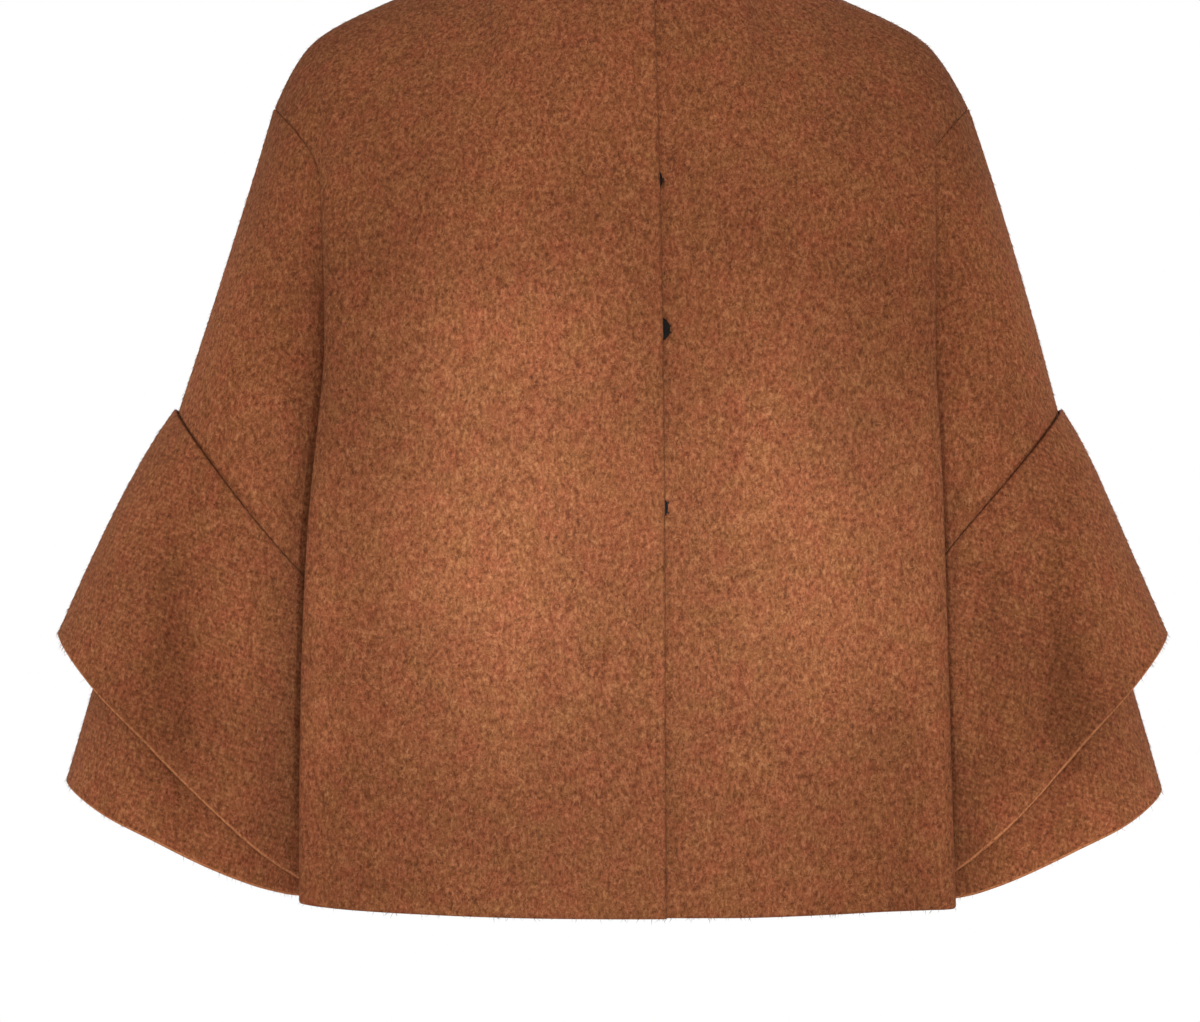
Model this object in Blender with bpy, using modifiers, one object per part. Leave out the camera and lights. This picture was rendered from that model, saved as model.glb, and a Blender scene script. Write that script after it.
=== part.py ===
"""A short, boxy spencer jacket with dropped sleeves and two-layer bell cuffs, worn by no one.

Metres, +Z up. The front faces -Y and +X is the viewer's right. The origin is in the neck opening, level with
the highest point of the shoulders, where a neck and shoulders carry the jacket. Each cloth piece is a closed
wall: its outer face is a grid of points worked out from the tables below, and its inner face lies one cloth
thickness inside.
"""

from collections import namedtuple
from math import atan, cos, pi, radians, sin

import bpy
import numpy as np

# Cloth and seams
WALL = 0.0025
SEAM_GAP = 0.00026
LAYER_GAP = 0.0007
CLOSING_GAP = 0.0040
# Points this close lie on the same seam
SEAM_MATCH = 0.00005
# A rim that slants grows no longer than the cloth's thickness over this
LEAST_SQUARE = 0.55
SHARP_ANGLE = 50.0

# Rows from the shoulder line down to the underarm: how far each has turned down, and its share of the armhole
YokeRow = namedtuple("YokeRow", "turn armhole")
YOKE = (
    YokeRow(0.000, 0.000),
    YokeRow(0.120, 0.045),
    YokeRow(0.240, 0.095),
    YokeRow(0.360, 0.150),
    YokeRow(0.470, 0.215),
    YokeRow(0.570, 0.300),
    YokeRow(0.670, 0.405),
    YokeRow(0.760, 0.520),
    YokeRow(0.845, 0.640),
    YokeRow(0.920, 0.760),
    YokeRow(0.970, 0.880),
    YokeRow(1.000, 1.000),
)

# Grid sizes: rows down the body, columns across half the neck, steps along and round a sleeve and its cuff
YOKE_ROWS = len(YOKE) - 1
BODY_ROWS = 8
NECK_COLUMNS = 5
SLEEVE_STEPS = 6
SLEEVE_SIDES = 2 * YOKE_ROWS
FLOUNCE_STEPS = 6
FLOUNCE_SIDES = 2 * SLEEVE_SIDES

# Neck opening and the closing
NECK_HALF_WIDTH = 0.082
NECK_SIDE_DEPTH = 0.012
NECK_FRONT_DEPTH = -0.066
NECK_BACK_DEPTH = 0.062
NECK_FRONT_DROP = 0.031
NECK_BACK_DROP = 0.010
BODY_CENTRE = 0.006
OVERLAP_EDGE_TOP = 0.0214
OVERLAP_EDGE = 0.0252
OVERLAP_EDGE_HEM = 0.0277
OVERLAP_HEIGHTS = (-0.569, -0.200, -0.030)
UNDERLAP_EDGE = -0.013
CLOSING_RUN_OUT = 0.055

# Body levels below the armholes: half widths, and depths from the middle of the jacket
BodyLevel = namedtuple("BodyLevel", "height front bust fold fold_front back back_fold back_fold_depth side")
BODY = (
    BodyLevel(-0.240, 0.1095, 0.0055, 0.1780, 0.0810, 0.1000, 0.1710, 0.0800, 0.1530),
    BodyLevel(-0.275, 0.1110, 0.0050, 0.1805, 0.0812, 0.1005, 0.1715, 0.0802, 0.1500),
    BodyLevel(-0.330, 0.1115, 0.0040, 0.1850, 0.0815, 0.1010, 0.1735, 0.0805, 0.1488),
    BodyLevel(-0.400, 0.1120, 0.0025, 0.1882, 0.0815, 0.1020, 0.1760, 0.0810, 0.1486),
    BodyLevel(-0.480, 0.1130, 0.0015, 0.1902, 0.0812, 0.1040, 0.1785, 0.0815, 0.1490),
    BodyLevel(-0.569, 0.1140, 0.0005, 0.1916, 0.0810, 0.1060, 0.1805, 0.0820, 0.1495),
)
BUST_OUT = 0.086
BUST_SPREAD = 0.046
BLADE_SWELL = 0.005
CHEST_POWER = 2.6
SWELL_POWER = 6
HEM_RISE = 0.0052
SIDE_SEAM_SHIFT = 0.004
SIDE_SEAM_RUN = 2.0
# How the rows turn from the shoulder line to the upright chest: later at the neck than at the side fold
TURN_POWER = 1.6
TURN_POWER_LOSS = 0.35
TURN_LOSS_RUN = 1.8

# The shoulder line from the neck to the top of the armhole
ShoulderPoint = namedtuple("ShoulderPoint", "out depth height")
SHOULDER = (
    ShoulderPoint(0.0820, 0.0120, 0.0000),
    ShoulderPoint(0.1100, 0.0110, -0.0145),
    ShoulderPoint(0.1380, 0.0095, -0.0270),
    ShoulderPoint(0.1640, 0.0080, -0.0390),
    ShoulderPoint(0.1850, 0.0065, -0.0530),
    ShoulderPoint(0.1990, 0.0050, -0.0725),
    ShoulderPoint(0.2088, 0.0040, -0.0920),
)

# The armhole, from the top of the shoulder down to the underarm
ArmholePoint = namedtuple("ArmholePoint", "out depth height")
FRONT_ARMHOLE = (
    ArmholePoint(0.2088, 0.0040, -0.0920),
    ArmholePoint(0.2005, -0.0270, -0.1010),
    ArmholePoint(0.1830, -0.0500, -0.1225),
    ArmholePoint(0.1690, -0.0580, -0.1500),
    ArmholePoint(0.1580, -0.0500, -0.1900),
    ArmholePoint(0.1535, -0.0280, -0.2260),
    ArmholePoint(0.1530, 0.0040, -0.2420),
)
BACK_ARMHOLE = (
    ArmholePoint(0.2088, 0.0040, -0.0920),
    ArmholePoint(0.2015, 0.0330, -0.1020),
    ArmholePoint(0.1850, 0.0520, -0.1270),
    ArmholePoint(0.1690, 0.0590, -0.1580),
    ArmholePoint(0.1580, 0.0530, -0.1940),
    ArmholePoint(0.1535, 0.0310, -0.2270),
    ArmholePoint(0.1530, 0.0040, -0.2420),
)

# Where the columns between the neck and the side fold lie: share of the shoulder line, and share of the chest
ChestColumn = namedtuple("ChestColumn", "shoulder chest")
CHEST_COLUMNS = (
    ChestColumn(0.00, 0.52),
    ChestColumn(0.22, 0.68),
    ChestColumn(0.43, 0.84),
    ChestColumn(0.59, 1.00),
)
# The side fold: the column just before its tip, and those behind it by their way along the cloth's return
FOLD_START_OUT = 0.0160
FOLD_START_DEPTH = 0.0108
FOLD_SHOULDER = 0.665
FOLD_OUT = 0.0045
FOLD_DEPTH = 0.0060
TIP_SHOULDER = 0.720
ReturnColumn = namedtuple("ReturnColumn", "shoulder way")
RETURN_COLUMNS = (
    ReturnColumn(0.765, 0.12),
    ReturnColumn(0.815, 0.28),
    ReturnColumn(0.870, 0.50),
    ReturnColumn(0.930, 0.74),
    ReturnColumn(1.000, 1.00),
)
FOLD_LEAD = 0.012
FOLD_RUN = 0.022
FOLD_ROUND = 0.010
FOLD_PULL = 0.3
RETURN_TUCK = 0.0130
RETURN_PULL = 0.2
RETURN_DEPTH = 0.6
RETURN_HEIGHT = 0.3

# Elbow seam: the slanted ring where the sleeve ends and both cuff layers are set in
ELBOW_OUTER = (0.2636, -0.2745)
ELBOW_INNER = (0.1605, -0.3990)
ELBOW_DEPTH = 0.0720
ELBOW_EGG = 0.08
ELBOW_MIDDLE_DEPTH = 0.001
SLEEVE_SWELL = 0.003
OUTER_SWELL = 0.2
UNDERARM_SPREAD = 0.007
SPREAD_POWER = 0.55

# The two cuff layers. A hem is a line seen from the front, by its share from the outer corner inwards
HemPoint = namedtuple("HemPoint", "share out height")
UPPER_HEM = (
    HemPoint(0.00, 0.3325, -0.4068),
    HemPoint(0.15, 0.3060, -0.4360),
    HemPoint(0.32, 0.2790, -0.4620),
    HemPoint(0.50, 0.2483, -0.4968),
    HemPoint(0.65, 0.2240, -0.5202),
    HemPoint(0.80, 0.1985, -0.5440),
    HemPoint(0.92, 0.1750, -0.5580),
    HemPoint(1.00, 0.1595, -0.5600),
)
LOWER_HEM = (
    HemPoint(0.00, 0.3282, -0.4975),
    HemPoint(0.16, 0.3030, -0.5130),
    HemPoint(0.34, 0.2746, -0.5262),
    HemPoint(0.50, 0.2504, -0.5385),
    HemPoint(0.66, 0.2260, -0.5500),
    HemPoint(0.80, 0.2050, -0.5588),
    HemPoint(0.92, 0.1840, -0.5632),
    HemPoint(1.00, 0.1655, -0.5620),
)
Flute = namedtuple("Flute", "angle spread height")
FLUTES = (
    Flute(26.0, 13.0, 0.0050),
    Flute(61.0, 14.0, 0.0090),
    Flute(106.0, 15.0, 0.0105),
    Flute(-20.0, 13.0, 0.0060),
    Flute(-58.0, 15.0, 0.0100),
    Flute(-84.0, 11.0, 0.0070),
    Flute(-116.0, 14.0, 0.0095),
)
UPPER_DEPTH = 0.0850
LOWER_DEPTH = 0.0790
CUFF_EGG = 0.24
LOWER_FLUTE_SHARE = 0.45
SEAM_PUFF = 0.0042
CUFF_ROW_POWER = 1.25
PUFF_POWER = 7
FLUTE_POWER = 1.6

# Soft folds in the bell cuffs: both ends of each fold's line by distance out and height, its half width,
# and its depth into the cloth, below 0 for a ridge
CuffFold = namedtuple("CuffFold", "out1 height1 out2 height2 spread depth")
RIGHT_FRONT_FOLDS = (
    CuffFold(0.252, -0.305, 0.242, -0.505, 0.0170, 0.0086),
    CuffFold(0.290, -0.290, 0.300, -0.440, 0.0150, -0.0020),
    CuffFold(0.214, -0.355, 0.214, -0.520, 0.0120, -0.0032),
)
LEFT_FRONT_FOLDS = (
    CuffFold(0.253, -0.290, 0.252, -0.490, 0.0135, 0.0074),
    CuffFold(0.215, -0.350, 0.212, -0.500, 0.0100, 0.0054),
    CuffFold(0.235, -0.330, 0.234, -0.480, 0.0090, -0.0022),
    CuffFold(0.286, -0.295, 0.294, -0.440, 0.0140, -0.0026),
)
BACK_FOLDS = (
    CuffFold(0.264, -0.295, 0.272, -0.480, 0.0135, 0.0060),
    CuffFold(0.224, -0.345, 0.220, -0.500, 0.0110, 0.0045),
    CuffFold(0.243, -0.330, 0.245, -0.480, 0.0110, -0.0018),
)
CUFF_FOLD_FADE = 3.0
CUFF_FOLD_START = 3.5

# The arms hang a little askew: how far they are moved to the viewer's right at each height
Skew = namedtuple("Skew", "height shift")
ARM_SKEW = (
    Skew(-0.560, -0.0010),
    Skew(-0.490, -0.0025),
    Skew(-0.420, -0.0032),
    Skew(-0.340, -0.0025),
    Skew(-0.280, 0.0000),
    Skew(-0.200, 0.0022),
    Skew(-0.120, 0.0026),
    Skew(-0.060, 0.0012),
    Skew(0.000, 0.0000),
)
SKEW_START = 0.150
SKEW_RUN = 0.060
HEM_TILT = 0.010
HEM_TILT_TOP = -0.440
HEM_TILT_RUN = 0.080

# Press studs: the profile of each half from its back face, and each one's height and how far its rim stands
# past the overlap's edge
STUD_RADIUS = 0.0075
STUD_SEAT = 0.0003
STUD_STEPS = 14
ProfilePoint = namedtuple("ProfilePoint", "radius height")
BALL_PROFILE = (
    ProfilePoint(0.0000, 0.0022),
    ProfilePoint(0.0015, 0.0022),
    ProfilePoint(0.0019, 0.0017),
    ProfilePoint(0.0017, 0.0011),
    ProfilePoint(0.0063, 0.0010),
    ProfilePoint(0.0075, 0.0006),
    ProfilePoint(0.0073, 0.0000),
    ProfilePoint(0.0000, 0.0000),
)
SOCKET_PROFILE = (
    ProfilePoint(0.0000, 0.0005),
    ProfilePoint(0.0024, 0.0005),
    ProfilePoint(0.0024, 0.0015),
    ProfilePoint(0.0046, 0.0015),
    ProfilePoint(0.0065, 0.0009),
    ProfilePoint(0.0073, 0.0005),
    ProfilePoint(0.0071, 0.0000),
    ProfilePoint(0.0000, 0.0000),
)
StudPlace = namedtuple("StudPlace", "height past_edge")
STUDS = (StudPlace(-0.1420, 0.0014), StudPlace(-0.2286, 0.0040), StudPlace(-0.3317, 0.0018))

# Colours as linear red, green and blue
CLOTH_COLOUR = (0.235, 0.080, 0.030)
STUD_COLOUR = (0.010, 0.010, 0.011)


def curve(knots, values, at):
    """A smooth curve through values at the knots, read at the places asked for."""
    knots = np.asarray(knots, float)
    values = np.asarray(values, float)
    at = np.clip(np.asarray(at, float), knots[0], knots[-1])
    slope = np.gradient(values, knots, axis=0)
    i = np.clip(np.searchsorted(knots, at, side="right") - 1, 0, len(knots) - 2)
    step = knots[i + 1] - knots[i]
    t = (at - knots[i]) / step
    if values.ndim > 1:
        t = t[..., None]
        step = step[..., None]
    start = (2 * t**3 - 3 * t**2 + 1) * values[i] + (t**3 - 2 * t**2 + t) * step * slope[i]
    end = (3 * t**2 - 2 * t**3) * values[i + 1] + (t**3 - t**2) * step * slope[i + 1]
    return start + end


def along(points, shares):
    """Points at the given shares of a smooth line's length."""
    points = np.array([tuple(p) for p in points], float)
    length = np.concatenate(([0.0], np.cumsum(np.linalg.norm(np.diff(points, axis=0), axis=1))))
    return curve(length / length[-1], points, shares)


def ease(t):
    """A smooth step from 0 to 1."""
    t = np.clip(t, 0.0, 1.0)
    return t * t * (3.0 - 2.0 * t)


def level(height):
    """The body's sizes at one height, as a BodyLevel."""
    rows = BODY[::-1]
    knots = [row.height for row in rows]
    return BodyLevel(*curve(knots, rows, np.array([height]))[0])


def armhole(points):
    """One side's armhole line, a point for each yoke row."""
    return along(points, [row.armhole for row in YOKE])


def hem_height(out):
    """The hem's height, a little lower at the centre than at the sides."""
    return BODY[-1].height + HEM_RISE * (out / BODY[-1].fold) ** 2


def overlap_edge(height):
    """Where the upper front's closing edge lies."""
    return curve(OVERLAP_HEIGHTS, (OVERLAP_EDGE_HEM, OVERLAP_EDGE, OVERLAP_EDGE_TOP), height)


def chest_depth(at, out, fold_out, fold_depth):
    """The front's depth at a distance from the body's centre, up to where its side fold starts."""
    share = np.clip(np.abs(out) / fold_out, 0.0, 1.0)
    swell = at.bust * np.exp(-(((np.abs(out) - BUST_OUT) / BUST_SPREAD) ** 2))
    return -(at.front + (fold_depth - at.front) * share**CHEST_POWER + swell * (1.0 - share**SWELL_POWER))


def back_depth(at, out, fold_out, fold_depth):
    """The back's depth at a distance from the body's centre, up to where its side fold starts."""
    share = np.clip(np.abs(out) / fold_out, 0.0, 1.0)
    swell = BLADE_SWELL * np.exp(-(((np.abs(out) - BUST_OUT) / BUST_SPREAD) ** 2))
    return at.back + (fold_depth - at.back) * share**CHEST_POWER + swell * (1.0 - share**SWELL_POWER)


def chest_section(side, front, height, inner_out):
    """One level of half a panel, from its inner column out to the tip of the side fold.

    inner_out is where the first column lies, measured from the jacket's middle towards the side.
    """
    at = level(height)
    depth_sign = -1.0 if front else 1.0
    fold_out = at.fold if front else at.back_fold
    fold_depth = at.fold_front if front else at.back_fold_depth
    start_out = fold_out - FOLD_START_OUT
    start_depth = fold_depth + FOLD_START_DEPTH
    shape = chest_depth if front else back_depth
    centre = side * BODY_CENTRE
    neck_end = CHEST_COLUMNS[0].chest * start_out
    outs = list(np.linspace(inner_out - centre, neck_end, NECK_COLUMNS + 1))
    outs += [column.chest * start_out for column in CHEST_COLUMNS[1:]]
    points = [(side * (out + centre), shape(at, out, start_out, start_depth)) for out in outs]
    points.append((side * (fold_out - FOLD_OUT + centre), depth_sign * (fold_depth + FOLD_DEPTH)))
    points.append((side * (fold_out + centre), depth_sign * fold_depth))
    return np.array(points)


def fold_return(side, front, tip, edge, crown):
    """The cloth from the side fold's tip back to the armhole or side seam.

    Where the edge lies outside the tip, high on the shoulder, the cloth runs on with no fold, and rounds over
    like the shoulder line, whose last points are given as crown.
    """
    behind = 1.0 if front else -1.0
    folded = ease((side * (tip[0] - edge[0]) + FOLD_LEAD) / FOLD_RUN)
    span = edge - tip
    reach = np.linalg.norm(span)
    back = np.array((0.0, behind * min(FOLD_PULL * reach, FOLD_ROUND), 0.0))
    tuck_out = -side * min(RETURN_PULL * reach, RETURN_TUCK)
    tuck = np.array((tuck_out, -RETURN_DEPTH * span[1], -RETURN_HEIGHT * span[2]))
    near_tip = tip + (1.0 - folded) * span / 3 + folded * back
    near_edge = edge - (1.0 - folded) * span / 3 + folded * tuck
    way = np.array([column.way for column in RETURN_COLUMNS])[:, None]
    stay = 1.0 - way
    line = stay**3 * tip + 3 * stay**2 * way * near_tip + 3 * stay * way**2 * near_edge + way**3 * edge
    rounding = crown[1:] - (crown[0] + (crown[-1] - crown[0]) * way)
    return line + rounding * (1.0 - folded) * reach / np.linalg.norm(crown[-1] - crown[0])


def top_line(side, front, first_angle):
    """The neck and shoulder line of half a panel, from its inner column to the top of the armhole."""
    angles = np.linspace(first_angle, 90.0, NECK_COLUMNS + 1)
    depth = NECK_FRONT_DEPTH if front else NECK_BACK_DEPTH
    drop = NECK_FRONT_DROP if front else NECK_BACK_DROP
    points = []
    for angle in np.radians(angles):
        lie = NECK_SIDE_DEPTH + (depth - NECK_SIDE_DEPTH) * cos(angle)
        points.append((side * NECK_HALF_WIDTH * sin(angle), lie, -drop * cos(angle) ** 2))
    shares = [column.shoulder for column in CHEST_COLUMNS[1:]]
    shares += [FOLD_SHOULDER, TIP_SHOULDER]
    shares += [column.shoulder for column in RETURN_COLUMNS]
    shoulder = along(SHOULDER, np.array(shares))
    shoulder[:, 0] *= side
    return np.vstack((np.array(points), shoulder))


def half_panel(side, front, first_angle, inner_edge):
    """Half a front or back, as rows of points from the neck and shoulder down to the hem."""
    top = top_line(side, front, first_angle)
    arm = armhole(FRONT_ARMHOLE if front else BACK_ARMHOLE)
    arm[:, 0] *= side
    inner = len(top) - len(RETURN_COLUMNS)
    across = np.linspace(0.0, 1.0, inner)
    chest_height = BODY[0].height
    chest = np.zeros((inner, 3))
    chest[:, :2] = chest_section(side, front, chest_height, inner_edge(chest_height))
    chest[:, 2] = chest_height
    round_over = TURN_POWER - TURN_POWER_LOSS * ease(across * TURN_LOSS_RUN)
    rows = [top]
    for number in range(1, YOKE_ROWS + 1):
        turn = 0.5 * pi * YOKE[number].turn
        points = top[:inner].copy()
        points[:, 0] += (chest[:, 0] - points[:, 0]) * ease(YOKE[number].turn)
        points[:, 1] += (chest[:, 1] - points[:, 1]) * sin(turn) ** round_over
        points[:, 2] += (chest[:, 2] - points[:, 2]) * (1.0 - cos(turn))
        points[0, 0] = side * inner_edge(points[0, 2])
        rows.append(np.vstack((points, fold_return(side, front, points[-1], arm[number], top[inner - 1 :]))))
    for number in range(1, BODY_ROWS + 1):
        share = number / BODY_ROWS
        height = chest_height + (BODY[-1].height - chest_height) * share
        points = np.zeros((inner, 3))
        points[:, :2] = chest_section(side, front, height, inner_edge(height))
        points[:, 2] = height
        seam_depth = arm[-1][1] + SIDE_SEAM_SHIFT * ease(share * SIDE_SEAM_RUN)
        seam = np.array((side * level(height).side, seam_depth, height))
        points = np.vstack((points, fold_return(side, front, points[-1], seam, top[inner - 1 :])))
        points[:, 2] += (hem_height(points[:, 0] - BODY_CENTRE) - BODY[-1].height) * share
        points[-1, 2] += (arm[-1][2] - chest_height) * (1.0 - share)
        rows.append(points)
    return np.array(rows)


def back_panel():
    """The whole back, from the wearer's right side seam to the left."""
    left = half_panel(-1.0, False, 0.0, lambda height: 0.0)
    right = half_panel(1.0, False, 0.0, lambda height: 0.0)
    return np.concatenate((left[:, :0:-1], right), axis=1)


def front_panel(side):
    """One front. The wearer's right front, on the viewer's left, lies on top past the centre."""
    if side < 0:
        angle = -np.degrees(np.arcsin(OVERLAP_EDGE_TOP / NECK_HALF_WIDTH))
        return half_panel(side, True, angle, lambda height: -float(overlap_edge(height)))
    angle = np.degrees(np.arcsin(UNDERLAP_EDGE / NECK_HALF_WIDTH))
    points = half_panel(side, True, angle, lambda height: UNDERLAP_EDGE)
    past_edge = (points[..., 0] - overlap_edge(points[..., 2])) / CLOSING_RUN_OUT
    points[..., 1] += (WALL + CLOSING_GAP) * (1.0 - ease(past_edge))
    return points


def elbow_ring(side, sides, lift):
    """The slanted seam ring round the sleeve, grown outwards by lift."""
    outer = np.array((ELBOW_OUTER[0], 0.0, ELBOW_OUTER[1]))
    inner = np.array((ELBOW_INNER[0], 0.0, ELBOW_INNER[1]))
    middle = (outer + inner) / 2
    reach = np.linalg.norm(outer - inner) / 2
    slant = (outer - inner) / (2 * reach)
    turn = np.linspace(0.0, 2 * pi, sides, endpoint=False)[:, None]
    deep = (ELBOW_DEPTH + lift) * (1.0 + ELBOW_EGG * np.cos(turn))
    ring = middle + (reach + lift) * np.cos(turn) * slant - deep * np.sin(turn) * np.array((0.0, 1.0, 0.0))
    ring[:, 1] += ELBOW_MIDDLE_DEPTH
    ring[:, 0] *= side
    return ring


def sleeve(side):
    """A sleeve, as rings from the armhole down to the elbow seam."""
    front = armhole(FRONT_ARMHOLE)
    back = armhole(BACK_ARMHOLE)
    start = np.vstack((front, back[-2:0:-1]))
    start[:, 0] *= side
    end = elbow_ring(side, SLEEVE_SIDES, 0.0)
    turn = np.linspace(0.0, 2 * pi, SLEEVE_SIDES, endpoint=False)
    rings = []
    for step in range(SLEEVE_STEPS + 1):
        share = step / SLEEVE_STEPS
        ring = start + (end - start) * share
        swell = SLEEVE_SWELL * 4 * share * (1 - share)
        ring[:, 0] += side * swell * OUTER_SWELL * np.maximum(np.cos(turn), 0.0)
        ring[:, 1] -= swell * np.sin(turn)
        spread = UNDERARM_SPREAD * np.clip(-np.cos(turn), 0, 1) * sin(pi * share**SPREAD_POWER)
        ring[:, 0] += side * spread
        rings.append(ring)
    return np.array(rings)


def flute_height(turn):
    """How far the soft flutes stand out at the hem, round the cuff."""
    degrees = np.degrees(turn)
    total = np.zeros_like(turn)
    for flute in FLUTES:
        away = (degrees - flute.angle + 180.0) % 360.0 - 180.0
        total += flute.height * np.exp(-((away / flute.spread) ** 2))
    return total


def hem_ring(side, hem, depth, flute_share):
    """A cuff layer's hem, from the outer corner round the front, the inner side and the back."""
    turn = np.linspace(0.0, 2 * pi, FLOUNCE_SIDES, endpoint=False)
    line = curve([p.share for p in hem], [(p.out, p.height) for p in hem], (1.0 - np.cos(turn)) / 2)
    deep = depth * (1.0 + CUFF_EGG * np.cos(turn)) + flute_share * flute_height(turn)
    return np.stack((side * line[:, 0], ELBOW_MIDDLE_DEPTH - deep * np.sin(turn), line[:, 1]), axis=1)


def fold_depth(out, height, folds):
    """How far soft folds press into a cuff, at places given by distance out and height."""
    total = np.zeros_like(out)
    for fold in folds:
        run = np.array((fold.out2 - fold.out1, fold.height2 - fold.height1))
        length = np.linalg.norm(run)
        away = np.stack((out - fold.out1, height - fold.height1), axis=-1)
        share = away @ run / length**2
        across = (away[..., 0] * run[1] - away[..., 1] * run[0]) / length
        ends = ease(share * CUFF_FOLD_FADE + 0.5) * ease((1.0 - share) * CUFF_FOLD_FADE + 0.5)
        total += fold.depth * np.exp(-((across / fold.spread) ** 2)) * ends
    return total


def cuff_layer(side, hem, depth, flute_share, lift, puff):
    """One layer of the bell cuff, as rings from the elbow seam to its hem."""
    start = elbow_ring(side, FLOUNCE_SIDES, lift)
    end = hem_ring(side, hem, depth, flute_share)
    turn = np.linspace(0.0, 2 * pi, FLOUNCE_SIDES, endpoint=False)
    flutes = flute_share * flute_height(turn) * np.abs(np.sin(turn))
    front_folds = RIGHT_FRONT_FOLDS if side < 0 else LEFT_FRONT_FOLDS
    rings = []
    for step in range(FLOUNCE_STEPS + 1):
        share = (step / FLOUNCE_STEPS) ** CUFF_ROW_POWER
        ring = start + (end - start) * share
        rise = puff * (1.0 - (1.0 - share) ** PUFF_POWER) * (1.0 - share**2)
        ring[:, 0] += side * rise * np.cos(turn)
        ring[:, 1] -= rise * np.sin(turn)
        ring[:, 1] += np.sign(np.sin(turn)) * flutes * (share - share**FLUTE_POWER)
        front = fold_depth(side * ring[:, 0], ring[:, 2], front_folds)
        back = fold_depth(side * ring[:, 0], ring[:, 2], BACK_FOLDS)
        pressed = np.where(np.sin(turn) > 0.0, front, -back) * np.sqrt(np.abs(np.sin(turn)))
        ring[:, 1] += pressed * ease(share * CUFF_FOLD_START)
        rings.append(ring)
    return np.array(rings)


def hang_askew(grid):
    """Moves the arms and the outer body a little, because the jacket doesn't hang quite evenly."""
    out = grid[..., 0]
    weight = ease((np.abs(out) - SKEW_START) / SKEW_RUN)
    shift = curve([row.height for row in ARM_SKEW], [row.shift for row in ARM_SKEW], grid[..., 2])
    low = ease((HEM_TILT_TOP - grid[..., 2]) / HEM_TILT_RUN)
    tilt = HEM_TILT * out * low * weight
    moved = grid.copy()
    moved[..., 0] += shift * weight
    moved[..., 2] -= tilt
    return moved


def face_normals(grid, closed, flip):
    """Unit normals of a grid's points, from the faces that meet there."""
    rows, columns = grid.shape[:2]
    total = np.zeros_like(grid)
    last = columns if closed else columns - 1
    for c in range(last):
        d = (c + 1) % columns
        a = grid[:-1, c]
        b = grid[:-1, d]
        e = grid[1:, d]
        f = grid[1:, c]
        normal = np.cross(e - a, f - b)
        normal *= flip
        normal /= np.maximum(np.linalg.norm(normal, axis=1, keepdims=True), 1e-12)
        total[:-1, c] += normal
        total[:-1, d] += normal
        total[1:, d] += normal
        total[1:, c] += normal
    return total / np.maximum(np.linalg.norm(total, axis=2, keepdims=True), 1e-12)


class Piece:
    """A cloth piece: its outer grid, which way its faces point, and which borders are sewn."""

    def __init__(self, name, grid, closed, flip, sewn):
        grid = hang_askew(grid)
        self.name = name
        self.grid = grid
        self.closed = closed
        self.flip = flip
        self.sewn = sewn
        self.normal = face_normals(grid, closed, flip)
        self.inward = self.normal.copy()
        self.reach = np.full(grid.shape[:2], WALL)


def share_seams(pieces):
    """Gives points that lie on the same seam one common direction through the cloth."""
    meeting = {}
    for piece in pieces:
        rows, columns = piece.grid.shape[:2]
        for r in range(rows):
            for c in range(columns):
                key = tuple(np.round(piece.grid[r, c] / SEAM_MATCH).astype(int))
                meeting.setdefault(key, []).append((piece, r, c))
    for places in meeting.values():
        if len(places) < 2:
            continue
        total = sum(piece.normal[r, c] for piece, r, c in places)
        common = total / max(np.linalg.norm(total), 1e-9)
        square = min(float(np.dot(common, piece.normal[r, c])) for piece, r, c in places)
        for piece, r, c in places:
            piece.inward[r, c] = common
            piece.reach[r, c] = WALL / max(square, LEAST_SQUARE)


def flatten_ring(piece, row, across):
    """Keeps the cloth's cut edge at a slanted seam in the seam's own plane."""
    inward = piece.inward[row]
    inward = inward - (inward @ across)[:, None] * across
    piece.inward[row] = inward / np.linalg.norm(inward, axis=1, keepdims=True)


def pull_back(outer, inner, borders):
    """Moves sewn borders a hair into the piece, so that seams stay open by the seam gap."""
    for axis, place in borders:
        neighbour = 1 if place == 0 else -2
        for side in (outer, inner):
            edge = side[place] if axis == 0 else side[:, place]
            inside = side[neighbour] if axis == 0 else side[:, neighbour]
            away = inside - edge
            away /= np.maximum(np.linalg.norm(away, axis=1, keepdims=True), 1e-9)
            edge += away * SEAM_GAP


def wall_mesh(piece):
    """A closed wall from a piece's outer grid and its inner copy."""
    outer = piece.grid.copy()
    inner = outer - piece.inward * piece.reach[..., None]
    pull_back(outer, inner, piece.sewn)
    rows, columns = outer.shape[:2]
    count = rows * columns
    points = np.concatenate((outer.reshape(-1, 3), inner.reshape(-1, 3)))
    faces = []
    last = columns if piece.closed else columns - 1

    def quad(a, b, c, d):
        faces.append((a, b, c, d) if piece.flip > 0 else (d, c, b, a))

    for r in range(rows - 1):
        for c in range(last):
            a = r * columns + c
            b = r * columns + (c + 1) % columns
            d = a + columns
            e = b + columns
            quad(a, b, e, d)
            quad(a + count, d + count, e + count, b + count)
    for c in range(last):
        a = c
        b = (c + 1) % columns
        quad(b, a, a + count, b + count)
        a = (rows - 1) * columns + c
        b = (rows - 1) * columns + (c + 1) % columns
        quad(a, b, b + count, a + count)
    if not piece.closed:
        for r in range(rows - 1):
            a = r * columns
            quad(a, a + columns, a + columns + count, a + count)
            a = r * columns + columns - 1
            quad(a + columns, a, a + count, a + columns + count)
    mesh = bpy.data.meshes.new(piece.name)
    mesh.from_pydata([tuple(p) for p in points], [], faces)
    mesh.update()
    mesh.shade_smooth()
    mesh.set_sharp_from_angle(angle=radians(SHARP_ANGLE))
    return mesh


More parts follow.
